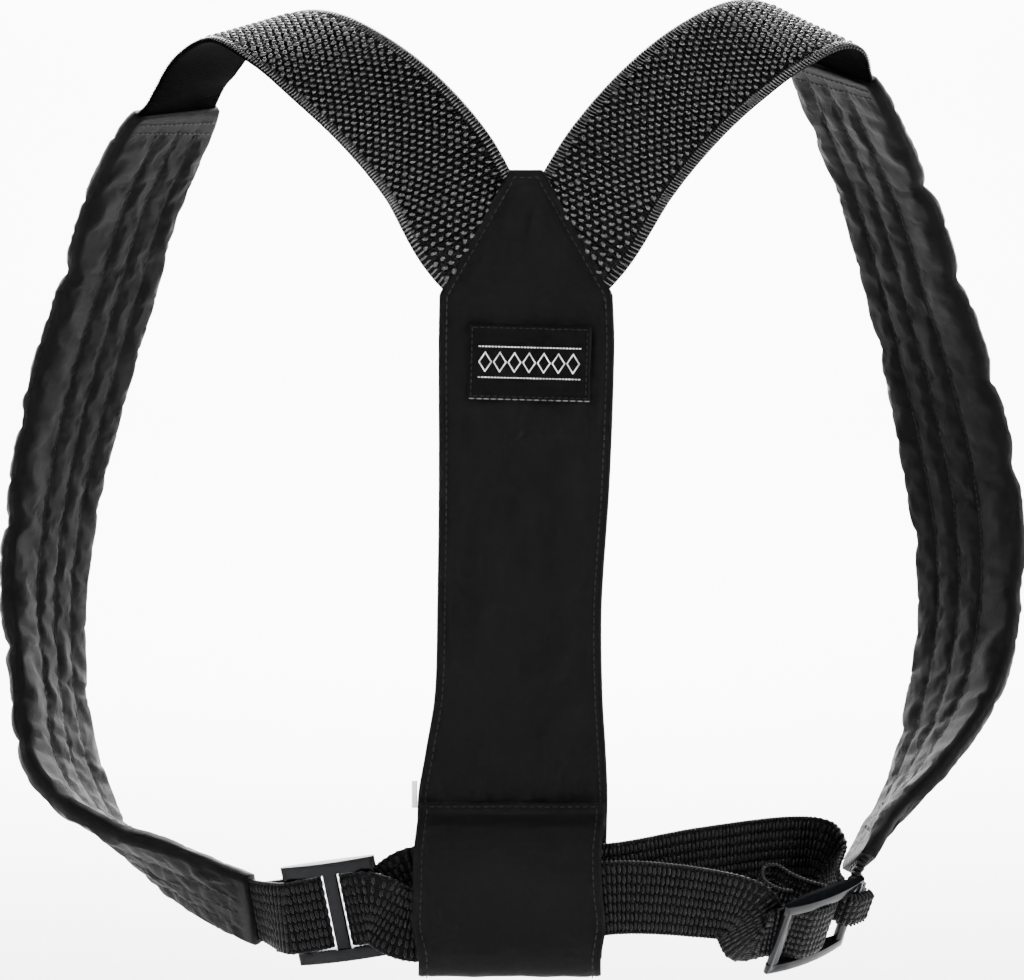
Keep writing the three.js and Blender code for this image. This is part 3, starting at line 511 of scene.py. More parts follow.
def noiseTexture(nodes, links, coordinates, scale, detail, distortion=0.0):
    texture = nodes.new("ShaderNodeTexNoise")
    for label, value in (("Scale", scale), ("Detail", detail), ("Distortion", distortion)):
        texture.inputs[label].default_value = value
    links.new(coordinates, texture.inputs["Vector"])
    return texture.outputs["Fac"]


def mottle(nodes, links, shader, look, scale, coordinates, low=0.75, high=1.3):
    # uneven colour and gloss, as dye and handling leave it
    patches = noiseTexture(nodes, links, coordinates, scale, 5)
    ramp = nodes.new("ShaderNodeValToRGB")
    for stop, share in zip(ramp.color_ramp.elements, (low, high)):
        stop.color = (*(c * share for c in look["colour"]), 1)
    ramp.color_ramp.elements[0].position = 0.35
    ramp.color_ramp.elements[1].position = 0.68
    links.new(patches, ramp.inputs["Fac"])
    gloss = nodes.new("ShaderNodeMapRange")
    gloss.inputs["To Min"].default_value = look["roughness"] - 0.07
    gloss.inputs["To Max"].default_value = look["roughness"] + 0.09
    links.new(patches, gloss.inputs["Value"])
    links.new(gloss.outputs["Result"], shader.inputs["Roughness"])
    links.new(ramp.outputs["Color"], shader.inputs["Base Color"])


def stripes(nodes, links, coordinates, pitch, direction, distortion=0.0):
    wave = nodes.new("ShaderNodeTexWave")
    wave.bands_direction = direction
    wave.inputs["Scale"].default_value = 0.314159 / pitch
    wave.inputs["Distortion"].default_value = distortion
    links.new(coordinates, wave.inputs["Vector"])
    return wave.outputs["Fac"]


def addUp(nodes, links, first, second, kind="ADD", share=None):
    total = nodes.new("ShaderNodeMath")
    total.operation = kind
    links.new(first, total.inputs[0])
    if share is None:
        links.new(second, total.inputs[1])
    else:
        total.inputs[1].default_value = share
    return total.outputs[0]


def relief(nodes, links, shader, height, strength, distance):
    bump = nodes.new("ShaderNodeBump")
    bump.inputs["Strength"].default_value = strength
    bump.inputs["Distance"].default_value = distance
    links.new(height, bump.inputs["Height"])
    links.new(bump.outputs["Normal"], shader.inputs["Normal"])


def clothFinish(name, look):
    # fine plain weave on the UV map, with soft crumples between
    mat, nodes, links, shader = newFinish(name, look)
    uv = nodes.new("ShaderNodeUVMap")
    uv.uv_map = "cloth"
    spot = nodes.new("ShaderNodeTexCoord")
    mottle(nodes, links, shader, look, 60.0, spot.outputs["Object"])
    warp = stripes(nodes, links, uv.outputs["UV"], look["threadPitch"], "X", 0.6)
    weft = stripes(nodes, links, uv.outputs["UV"], look["threadPitch"], "Y", 0.6)
    weave = addUp(nodes, links, addUp(nodes, links, warp, weft, "MULTIPLY"), None, "MULTIPLY", 0.35)
    crumple = noiseTexture(nodes, links, spot.outputs["Object"], 210.0, 4, 0.6)
    relief(nodes, links, shader, addUp(nodes, links, weave, crumple), look["bump"], 0.0006)
    return mat


def ribbedFinish(name, look):
    # crosswise ribs on the UV map, each made of small twisted yarns
    mat, nodes, links, shader = newFinish(name, look)
    uv = nodes.new("ShaderNodeUVMap")
    uv.uv_map = "cloth"
    spot = nodes.new("ShaderNodeTexCoord")
    mottle(nodes, links, shader, look, 90.0, spot.outputs["Object"], 0.7, 1.5)
    ribs = stripes(nodes, links, uv.outputs["UV"], look["ribPitch"], "Y", 0.3)
    yarns = stripes(nodes, links, uv.outputs["UV"], look["ribPitch"] * 0.7, "X", 1.2)
    fine = addUp(nodes, links, yarns, None, "MULTIPLY", 0.35)
    relief(nodes, links, shader, addUp(nodes, links, ribs, fine), look["bump"], 0.0006)
    return mat


def grainFinish(name, look, pitch=0.0006):
    # small satin yarns that run round each grain
    mat, nodes, links, shader = newFinish(name, look)
    spot = nodes.new("ShaderNodeTexCoord")
    mottle(nodes, links, shader, look, 260.0, spot.outputs["Object"], 0.6, 1.7)
    fine = noiseTexture(nodes, links, spot.outputs["Object"], 0.4 / pitch, 2)
    relief(nodes, links, shader, fine, 0.25, 0.0003)
    return mat


def plasticFinish(name, look):
    mat, nodes, links, shader = newFinish(name, look)
    spot = nodes.new("ShaderNodeTexCoord")
    mottle(nodes, links, shader, look, 35.0, spot.outputs["Object"], 0.85, 1.2)
    grain = noiseTexture(nodes, links, spot.outputs["Object"], look["grain"], 3)
    relief(nodes, links, shader, grain, look["bump"], 0.0004)
    shader.inputs["Coat Weight"].default_value = 0.06
    shader.inputs["Coat Roughness"].default_value = 0.2
    return mat


clothCover = clothFinish("taffeta", cloth)
# the elastic's ground between the beads: black elastic, coloured darker than the beads as painted shade in
# the recesses between them
elasticGroundPaintedShade = ribbedFinish("elasticGroundPaintedShade",
                             {**elastic, "colour": (0.0005, 0.0005, 0.0006), "specular": 0.08,
                              "ribPitch": beads["ribPitch"], "bump": 0.7})
elasticInside = ribbedFinish("elasticInside",
                             {**elastic, "colour": (0.001, 0.001, 0.0012), "roughness": 0.8,
                              "specular": 0.006, "ribPitch": 0.0016,
                                               "bump": 0.5})
elasticBead = grainFinish("elasticBead", elastic)
webbingCover = ribbedFinish("webbingCover", webbing)
webbingEdge = grainFinish("webbingEdge", {**webbing, "colour": (0.0016, 0.0016, 0.0019), "specular": 0.2})
sliderPlastic = plasticFinish("sliderPlastic", plastic)
threadCover = grainFinish("sewingThread", thread, 0.0004)
ornamentThread = grainFinish("ornamentThread", ornament, 0.0004)
paleThread = grainFinish("paleThread", {**ornament, "colour": (0.1, 0.1, 0.1)}, 0.0004)
labelCover = clothFinish("labelSatin", labelSatin)
tagCover = clothFinish("tagSatin", tagSatin)
grains = grainTree("grainsOnSeeds")
print("finishes made")


# Routes

leftSlider = sliderFrame(leftSliderPlace)
rightSlider = sliderFrame(rightSliderPlace)
leftRoute = harnessRoute(-1, leftShoulderRows, leftSideRows, leftFoot, leftSlider)
rightRoute = harnessRoute(1, rightShoulderRows, rightSideRows, rightFoot, rightSlider)
beltWay = beltRoute(leftSlider, rightSlider)


# Back panel

def panelEdge(column, z):
    z = np.asarray(z, float)
    share = (panel["yokeRise"] - z) / (panel["yokeRise"] + panel["yokeDrop"])
    yoke = panel["yokeTopWidth"] / 2 + (panel["halfWidth"] - panel["yokeTopWidth"] / 2) * share
    fall = np.clip(-z / panel["drop"], panelRows[0][0], 1)
    return np.where(z > -panel["yokeDrop"], yoke, panel["halfWidth"] * between(panelRows, column, fall))


def panelHalf(x, z, left, right, foot):
    # half the panel's thickness by the distance from its bound edge
    slope = np.where(z > -panel["yokeDrop"], panel["yokeSlope"], 1.0)
    d = np.minimum(x + left, right - x) * slope
    d = np.minimum(d, np.minimum(panel["yokeRise"] - z, z - foot))
    roll = panel["edgeRoll"] * np.sqrt(np.clip(1 - (1 - np.clip(d / panel["edgeWidth"], 0, 1)) ** 2, 0.02, 1))
    inset = panel["stitchInset"]
    rise = np.clip((d - inset) / panel["swellWidth"], 0, 1)
    swell = panel["grooveHalf"] + (panel["thickness"] / 2 - panel["grooveHalf"]) * (1 - (1 - rise) ** 2.2)
    dip = np.exp(-((d - inset) / panel["grooveWidth"]) ** 2)
    half = np.where(d < inset, np.maximum(roll, 0.0003), swell)
    return half - dip * (half - panel["grooveHalf"]) * 0.9, d


def buildPanel():
    foot = -(panel["drop"] - facing["thickness"] - panel["foldRoom"])
    zs = np.concatenate([panel["yokeRise"]
                         - panel["topRound"] * (1 - np.cos(np.linspace(0, math.pi / 2, 6)))[:-1],
                         np.linspace(panel["yokeRise"] - panel["topRound"], foot, panel["rows"])])
    columns = panel["columns"]
    s = -np.cos(np.linspace(0, math.pi, columns + 1))
    s = 0.55 * s + 0.45 * np.linspace(-1, 1, columns + 1)
    left, right = panelEdge(1, zs), panelEdge(2, zs)
    x = -left[:, None] + (left + right)[:, None] * (s[None, :] + 1) / 2
    z = np.repeat(zs[:, None], columns + 1, 1)
    half, d = panelHalf(x, z, left[:, None], right[:, None], foot)
    at = np.stack([x, np.zeros_like(x), z], axis=-1)
    soft = ripple(at, (85, 1, 13), 3.1) * panel["softFold"] + ripple(at, (160, 1, 70),
                                                                     9.2) * panel["softFold"] * 0.35
    slant = ripple(at @ np.array([[1, 0, 0.8], [0, 1, 0], [-0.8, 0, 1]]), (75, 1, 14),
                   5.5) * panel["softFold"] * 0.8
    pull = np.exp(-((d - 0.006) / 0.006) ** 2) * ripple(at, (60, 1, 210), 1.3) * panel["pucker"] * 2.2
    loose = np.clip((d - panel["stitchInset"]) / 0.006, 0, 1)
    lift = (soft + slant + pull) * loose
    inYoke = np.clip((z + panel["yokeDrop"] + 0.014) / 0.008, 0,
                     1) * np.clip((d - panel["stitchInset"]) / 0.005, 0, 1)
    least = panel["grooveHalf"] + (panel["strapRoom"] - panel["grooveHalf"]) * inYoke
    sunk = np.clip(panel["softFold"] * 0.4 + lift, 0, np.maximum(half - least, 0)) * loose
    middle = -panel["thickness"] / 2
    front = np.stack([x, middle - half + sunk, z], axis=-1)
    back = np.stack([x, middle + half - sunk * 0.5, z], axis=-1)
    rings = np.concatenate([front, back[:, ::-1]], axis=1)
    u = np.concatenate([x[60], x[60][::-1]])
    cover = ringMesh("panel_cover", rings, u, -zs, [clothCover])
    return cover, foot


panelCover, panelFoot = buildPanel()
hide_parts("back_panel")
print("back panel built")


def panelRim(inset):
    # the stitch line's course round the panel, at a distance inside its edge
    zs = np.linspace(panelFoot + 0.001, -panel["yokeDrop"] - inset * 0.4, 220)
    left = np.stack([-panelEdge(1, zs) + inset, zs], axis=1)
    right = np.stack([panelEdge(2, zs) - inset, zs], axis=1)
    slope = inset / panel["yokeSlope"]
    top = panel["yokeRise"] - inset
    up = np.linspace(-panel["yokeDrop"] - inset * 0.4, top, 40)
    leftUp = np.stack([-panelEdge(1, up) + slope, up], axis=1)
    rightUp = np.stack([panelEdge(2, up) - slope, up], axis=1)
    return np.concatenate([left, leftUp[1:], rightUp[::-1], right[::-1][1:]])


def evenly(line, pitch):
    # points every pitch along a line, with the way it runs there
    line = np.asarray(line, float)
    run = alongLine(line)
    stops = np.arange(pitch / 2, run[-1], pitch)

    def readAt(distances):
        return np.stack([np.interp(distances, run, line[:, k]) for k in range(line.shape[1])], axis=1)

    return readAt(stops), unit(readAt(np.minimum(stops + 1e-4, run[-1]))
                               - readAt(np.maximum(stops - 1e-4, 0)))


stitch = {"pitch": 0.0031, "length": 0.0025, "width": 0.0006, "height": 0.0005}
stitchSize = (stitch["length"], stitch["width"], stitch["height"])


class Seeds:
    # gathers places, ways and normals for grains of one kind
    def __init__(self):
        self.places, self.ways, self.normals = [], [], []

    def add(self, places, ways, normals):
        self.places.extend(np.asarray(places))
        self.ways.extend(np.asarray(ways))
        self.normals.extend(np.asarray(normals))

    def rows(self):
        return np.array(self.places), np.array(self.ways), np.array(self.normals)


def panelStitches():
    seeds = Seeds()
    at, way = evenly(panelRim(panel["stitchInset"]), stitch["pitch"])
    for side in (-1, 1):
        y = np.full(len(at), -panel["thickness"] / 2 + side * (panel["grooveHalf"] + 0.00012))
        places = np.stack([at[:, 0], y, at[:, 1]], axis=1)
        ways = np.stack([way[:, 0], np.zeros(len(at)), way[:, 1]], axis=1)
        seeds.add(places, ways, np.tile([0.0, side, 0.0], (len(at), 1)))
    return seeds


panelSeeds = panelStitches()
panelThread = grainPiece("panel_stitches", panelSeeds.rows(), grains, stitchSize, threadCover)


# Tunnel facing

def facingStations():
    # the facing's middle line from its top seam round its fold, with both edges
    half = facing["thickness"] / 2
    seam = panel["thickness"] + harness["clothGap"] + half
    outer = panel["thickness"] + facing["depth"] + half
    hem = harness["clothGap"] + half
    lowest = -panel["drop"] + half
    top = facing["height"] - panel["drop"]
    stops = [(-(seam + (outer - seam) * out), top - fall * (facing["height"] - half), a, b)
             for out, fall, a, b in facingRows]
    a, b = facingRows[-1][2:]
    stops += [(-outer * 0.72, lowest, a, b), (-outer * 0.25, lowest, a, b),
              (hem, lowest + facing["foldRise"], a, b),
              (hem, lowest + facing["foldRise"] + facing["hemHeight"], a, b)]
    return stops


def buildFacing():
    stops = facingStations()
    t = np.linspace(0, 1, facing["rows"] + 1)
    line = splinePoints([(0, y, z) for y, z, _, _ in stops], t, True)
    edges = splinePoints([(a, b, 0) for _, _, a, b in stops], t, False) * panel["halfWidth"]
    along = unit(np.gradient(line, axis=0))
    outward = np.stack([np.zeros(len(t)), along[:, 2], -along[:, 1]], axis=1)
    run = alongLine(line)
    columns = facing["columns"]
    share = np.linspace(0, 1, columns + 1)
    x = -edges[:, :1] + (edges[:, :1] + edges[:, 1:2]) * share[None, :]
    at = np.stack([x, np.repeat(line[:, 1:2], columns + 1, 1), np.repeat(line[:, 2:3], columns + 1, 1)],
                  axis=-1)
    d = np.minimum(x + edges[:, :1], edges[:, 1:2] - x)
    free = np.clip(run / 0.012, 0, 1)[:, None] * np.clip((run[-1] - run) / 0.02, 0, 1)[:, None]
    slant = at @ np.array([[1, 0, -0.7], [0, 1, 0], [0.7, 0, 1]])
    lift = (ripple(slant, (45, 20, 30), 2.4) * 0.9
            + ripple(at, (110, 60, 70), 7.7) * 0.4) * facing["wrinkle"] * free
    lift = lift - np.exp(-((d - facing["hemInset"]) / 0.0009) ** 2) * 0.00035
    half = np.full_like(x, facing["thickness"] / 2) * np.where(d < 1e-6, 0.45, 1)
    outer = at + outward[:, None, :] * (half + lift)[..., None]
    inner = at - outward[:, None, :] * (half - lift)[..., None]
    rings = np.concatenate([outer, inner[:, ::-1]], axis=1)
    u = np.concatenate([x[0], x[0][::-1]])
    cover = ringMesh("tunnel_cover", rings, u, run, [clothCover])
    seeds = Seeds()
    for side in (0, 1):
        edge = -edges[:, 0] + facing["hemInset"] if side == 0 else edges[:, 1] - facing["hemInset"]
        rim = np.stack([edge, line[:, 1], line[:, 2]], axis=1) + outward * (facing["thickness"] / 2 - 0.0002)
        places, ways = evenly(rim[4:], stitch["pitch"])
        normals = np.stack([np.interp(places[:, 2], line[::-1, 2], outward[::-1, k]) for k in range(3)],
                           axis=1)
        front = places[:, 1] < -0.004
        seeds.add(places[front], ways[front], normals[front])
    z = np.full(2, line[3, 2])
    seam = np.stack([[x[3, 0] + 0.004, x[3, -1] - 0.004],
                     np.full(2, line[3, 1] - facing["thickness"] / 2 - 0.0001), z], axis=1)
    places, ways = evenly(seam, stitch["pitch"])
    seeds.add(places, ways, np.tile([0.0, -1.0, 0.0], (len(places), 1)))
    return cover, grainPiece("tunnel_stitches", seeds.rows(), grains, stitchSize, threadCover), run[-1]


tunnelCover, tunnelThread, facingRun = buildFacing()
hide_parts("panel_loop")
print("tunnel built")


# Shoulder elastic

def underYoke(places):
    # whether a place lies behind the panel, where the band runs on between its two layers
    x, z = places[:, 0], places[:, 2]
    slope = np.where(z > -panel["yokeDrop"], 0.0012, 0.0)
    return (x > -panelEdge(1, z) + slope) & (x < panelEdge(2, z) - slope) & (z < panel["yokeRise"])


def buildStrap(name, node, route):
    start = harness["yokeSeamDepth"] * 0.45
    end = route.padStart + harness["seamDepth"] * 0.8
    # the band's outer face takes the ground colour, darker than the beads: painted shade between them
    cover = bandPiece(name, route, start, end, strap["width"], strap["thickness"], strap["step"],
                      [elasticGroundPaintedShade, elasticInside], 16)
    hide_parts(node)
    face = Seeds()
    rim = Seeds()
    inside = strap["width"] / 2 - strap["selvedge"]
    distances = np.arange(start, end, beads["rowPitch"])
    at, along, out, across = route.frames(distances)
    for k in range(len(distances)):
        spots = np.arange(-inside + beads["pitch"] / 2 * (k % 2), inside, beads["pitch"])
        shake = ripple(np.stack([spots * 9, spots * 0 + k, spots * 0], axis=1), (120, 3.7, 1), 2.6)
        places = at[k] + across[k] * (spots + shake * 0.0004)[:, None] + out[k] * (strap["thickness"] / 2)
        ways = across[k] + along[k] * (0.45 * (-1) ** k + shake * 0.5)[:, None]
        clear = ~underYoke(places)
        face.add(places[clear], ways[clear], np.tile(out[k], (len(spots), 1))[clear])
    distances = np.arange(start, end, beads["ribPitch"])
    at, along, out, across = route.frames(distances)
    for side in (-1, 1):
        places = at + across * side * (strap["width"] / 2
                                       - strap["selvedge"] / 2) + out * strap["thickness"] / 2
        clear = ~underYoke(places)
        rim.add(places[clear], (across + along * 0.12)[clear], out[clear])
    beadMesh = grainPiece(name + "_beads", face.rows(), grains,
                          (beads["length"], beads["width"], beads["height"]), elasticBead, 6)
    ribMesh = grainPiece(name + "_selvedge", rim.rows(), grains,
                         (strap["selvedge"] * 1.1, beads["ribPitch"] * 0.85, 0.0011), elasticBead, 6)
    return cover, beadMesh, ribMesh, end - start


strapLeft = buildStrap("elastic_left", "shoulder_strap_left", leftRoute)
strapRight = buildStrap("elastic_right", "shoulder_strap_right", rightRoute)
print("elastic built")


# Quilted pads

def foldDip(dents, fromEdge, share, length):
    # the sharp fold that runs in from each dent over the channel beside it
    dip = np.zeros_like(share)
    for along, dentSide, deep in dents:
        away = fromEdge if dentSide == 1 else 1 - fromEdge
        reach = max(0.0, 1 - away / 0.4)
        slant = (share - along) * length + away * 0.004
        dip += pads["foldDepth"] * deep * reach ** 0.5 * np.exp(-(slant / pads["foldLength"]) ** 2)
    return dip


def settle(obj, sewn):
    # lets the cloth between the seams puff and buckle, as cloth cut a little larger than its wadding does
    before = np.empty(len(obj.data.vertices) * 3)
    obj.data.vertices.foreach_get("co", before)
    obj.vertex_groups.new(name="sewn").add([int(i) for i in sewn], 1.0, "REPLACE")
    sim = obj.modifiers.new("settle", "CLOTH")
    rules = sim.settings
    rules.quality = 6
    rules.mass = pads["clothWeight"]
    rules.air_damping = 3
    rules.tension_stiffness = rules.compression_stiffness = pads["stretch"]
    rules.shear_stiffness = pads["shear"]
    rules.bending_stiffness = pads["bending"]
    rules.shrink_min = -pads["ease"]
    rules.use_pressure = True
    rules.uniform_pressure_force = pads["pressure"]
    rules.vertex_group_mass = "sewn"
    rules.effector_weights.gravity = 0
    sim.point_cache.frame_start = 1
    sim.point_cache.frame_end = pads["frames"]
    for step in range(1, pads["frames"] + 1):
        bpy.context.scene.frame_set(step)
    done = obj.evaluated_get(bpy.context.evaluated_depsgraph_get()).data
    after = np.empty_like(before)
    done.vertices.foreach_get("co", after)
    move = (after - before).reshape(-1, 3)
    size = np.linalg.norm(move, axis=1, keepdims=True)
    move *= np.minimum(1, pads["reach"] / np.maximum(size, 1e-9))
    obj.modifiers.clear()
    obj.vertex_groups.clear()
    bpy.context.scene.frame_set(1)
    obj.data.vertices.foreach_set("co", (before.reshape(-1, 3) + move).ravel())
    obj.data.update()
    print(obj.name, "settled, mean move mm", round(float(size.mean()) * 1000, 2), "most",
          round(float(size.max()) * 1000, 2))


def dentPush(dents, side, share, length):
    push = np.zeros_like(share)
    for along, dentSide, deep in dents:
        if dentSide == side:
            push += pads["dentDepth"] * deep * np.exp(-(((share - along) * length) / pads["dentLength"]) ** 2)
    return push


def buildPad(name, node, route, dents, seed):
    foot = route.foot
    length = route.padEnd - route.padStart
    rows = round(length / pads["step"])
    share = np.linspace(0, 1, rows + 1)
    f = route.frames(route.padStart + share * length)
    wide, thick = between(padRows, 1, share), between(padRows, 2, share)
    width = foot["width"] + (pads["width"] - foot["width"]) * wide
    thickness = pads["endThickness"] + (pads["thickness"] - pads["endThickness"]) * thick
    channels = len(pads["seams"]) - 1
    columns = channels * pads["channelColumns"]
    place = np.arange(columns + 1) / pads["channelColumns"]
    fromEdge = np.interp(place, range(channels + 1), pads["seams"])
    part = route.side * (1 - 2 * fromEdge)
    channel = np.abs(np.sin(math.pi * place))
    outer, inner = [], []
    quilt = pads["quiltDepth"] * thick
    for k, p in enumerate(part):
        rim = k in (0, columns)
        push = dentPush(dents, 1 if fromEdge[k] < 0.5 else -1, share, length) * abs(p) ** 3
        across = p * width / 2 - np.sign(p) * push
        half = (0.3 if rim else 1 - quilt * (1 - channel[k] ** 0.55)) * thickness / 2
        fold = foldDip(dents, fromEdge[k], share, length) * channel[k] ** 0.4
        middle = onFrame(f, across, np.zeros_like(across))
        spots = np.stack([p * pads["width"] / 2 + 0 * share, share * length, 0 * share], axis=1)
        gather = ripple(spots, (30, 420, 1),
                        seed + 8 + k // pads["channelColumns"]) * pads["pucker"] * (1 - channel[k])
        soft = channel[k] ** 0.5
        lift = (ripple(spots, (70, 130, 1), seed) * soft
                + ripple(spots, (160, 260, 1), seed + 4) * 0.5) * pads["wrinkle"]
        under = ripple(spots, (70, 120, 1), seed + 20) * pads["wrinkle"] * 0.8 * soft
        outer.append(middle + f[2] * (half + (lift + gather) * thick - fold)[:, None])
        inner.append(middle - f[2] * (half + (under + gather) * thick - fold * 0.7)[:, None])
    rings = np.stack(outer + inner[::-1], axis=1)
    u = np.concatenate([part, part[::-1] + 2.2]) * pads["width"] / 2
    cover = ringMesh(name, rings, u, share * length, [clothCover])
    count = 2 * (columns + 1)
    held = [c for c in range(count) if (c % (columns + 1)) % pads["channelColumns"] == 0]
    sewn = {r * count + c for r in range(rows + 1) for c in held}
    sewn |= {r * count + c for r in (0, 1, 2, 3, 4, rows - 2, rows - 1, rows) for c in range(count)}
    settle(cover, sorted(sewn))
    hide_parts(node)
    seeds = Seeds()
    for line in range(1, channels):
        column = line * pads["channelColumns"]
        for ring, sign in ((outer[column], 1), (inner[column], -1)):
            places, ways = evenly(ring[3:-3], stitch["pitch"])
            run = alongLine(ring[3:-3])
            stops = np.arange(stitch["pitch"] / 2, run[-1], stitch["pitch"])
            normals = np.stack([np.interp(stops, run, sign * f[2][3:-3, k]) for k in range(3)], axis=1)
            seeds.add(places + normals * 0.00012, ways, normals)
    for row in (2, 4):
        for ring, sign in ((outer, 1), (inner, -1)):
            line = np.stack([ring[c][row] for c in range(2, columns - 1)])
            places, ways = evenly(line, stitch["pitch"])
            seeds.add(places + sign * f[2][row] * 0.00015, ways, np.tile(sign * f[2][row], (len(places), 1)))
    threadMesh = grainPiece(name + "_stitches", seeds.rows(), grains, stitchSize, threadCover)
    return cover, threadMesh


padLeft = buildPad("quilted_pad_left", "pad_left", leftRoute, leftDents, 0.0)
padRight = buildPad("quilted_pad_right", "pad_right", rightRoute, rightDents, 51.0)
print("pads built")


# Webbing

def ropeEdges(name, route, start, end, width, thickness):
    # the twisted yarn along both edges
    seeds = Seeds()
    distances = np.arange(start, end, belt["edgePitch"])
    at, along, out, across = route.frames(distances)
    for side in (-1, 1):
        places = at + across * side * (width / 2 - 0.0004)
        seeds.add(places, along + out * 0.6, out)
    return grainPiece(name, seeds.rows(), grains, (belt["edgePitch"] * 1.3, 0.0013, thickness * 1.12),
                      webbingEdge, 6)


def webbingYarns(name, route, start, end, width, thickness):
    # the thick cross yarns that show on both faces, a little staggered
    seeds = Seeds()
    distances = np.arange(start + belt["yarnPitch"] / 2, end, belt["yarnPitch"])
    at, along, out, across = route.frames(distances)
    inside = width / 2 - 0.0012
    for k in range(len(distances)):
        spots = np.arange(-inside + belt["yarnLength"] * (0.5 + 0.12 * (k % 2)), inside, belt["yarnLength"])
        for side in (-1, 1):
            places = at[k] + across[k] * spots[:, None] + out[k] * side * thickness / 2
            seeds.add(places, np.tile(across[k] + along[k] * 0.1, (len(spots), 1)),
                      np.tile(out[k] * side, (len(spots), 1)))
    size = (belt["yarnLength"] * 0.95, belt["yarnPitch"] * 0.82, 0.0009)
    return grainPiece(name, seeds.rows(), grains, size, webbingEdge, 5, 4)


beltCover = bandPiece("belt_webbing", beltWay, 0, beltWay.length, belt["width"], belt["thickness"],
                      belt["step"], [webbingCover], 12)
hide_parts("belt")
beltEdges = ropeEdges("belt_edges", beltWay, 0.0004, beltWay.length, belt["width"], belt["thickness"])
beltYarns = webbingYarns("belt_yarns", beltWay, 0, beltWay.length, belt["width"], belt["thickness"])


def buildEndStrap(name, node, route):
    start = route.padEnd - harness["seamDepth"] * 0.8
    foot = route.foot
    cover = bandPiece(name, route, start, route.length, foot["strapWidth"], foot["strapThickness"],
                      belt["step"], [webbingCover], 12)
    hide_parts(node)
    size = (foot["strapWidth"], foot["strapThickness"])
    edges = ropeEdges(name + "_edges", route, start, route.length, *size)
    yarns = webbingYarns(name + "_yarns", route, route.padEnd, route.length, *size)
    return cover, edges, yarns, route.length - start


stubLeft = buildEndStrap("end_webbing_left", "end_strap_left", leftRoute)
stubRight = buildEndStrap("end_webbing_right", "end_strap_right", rightRoute)
print("webbing built")


# Sliders

def buildSlider(name, node):
    # the solid with its edges rounded as moulded nylon is
    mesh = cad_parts[node].data.copy()
    mesh.name = name
    obj = newObject(name, mesh)
    bm = bmesh.new()
    bm.from_mesh(mesh)
    bmesh.ops.remove_doubles(bm, verts=bm.verts, dist=1e-6)
    bmesh.ops.dissolve_limit(bm, angle_limit=math.radians(2), verts=bm.verts, edges=bm.edges)
    bm.to_mesh(mesh)
    bm.free()
    mesh.materials.clear()
    mesh.materials.append(sliderPlastic)
    rounding = obj.modifiers.new("rounding", "BEVEL")
    rounding.width = slider["bevel"]
    rounding.segments = 3
    rounding.limit_method = "ANGLE"
    rounding.angle_limit = math.radians(35)
    graph = bpy.context.evaluated_depsgraph_get()
    done = bpy.data.meshes.new_from_object(obj.evaluated_get(graph))
    obj.modifiers.clear()
    obj.data = done
    bpy.data.meshes.remove(mesh)
    done.name = name
    done.polygons.foreach_set("use_smooth", [True] * len(done.polygons))
    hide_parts(node)
    return obj


buckleLeft = buildSlider("slider_left", "buckle_left")
buckleRight = buildSlider("slider_right", "buckle_right")
print("sliders built")


# Label and tag

label = {"width": 0.0495, "height": 0.0304, "thickness": 0.0006, "drop": 0.0515, "shift": 0.0012, "tilt": 1.5,
         "motifs": 7, "motifStep": 0.0059, "lineAt": 0.0062}
tag = {"height": 0.011, "reach": 0.0024, "thickness": 0.0009, "drop": 0.227}


def labelPoint(a, b):
    tilt = math.radians(label["tilt"])
    x = a * math.cos(tilt) + b * math.sin(tilt)
    z = b * math.cos(tilt) - a * math.sin(tilt)
    return label["shift"] + x, -label["drop"] + z


def labelLift(a, b):
    return 0.00022 * math.sin(a * 160
                              + 0.6) * math.cos(b * 90) + 0.0001 * noise.noise(Vector((a * 120, b * 160, 4)))


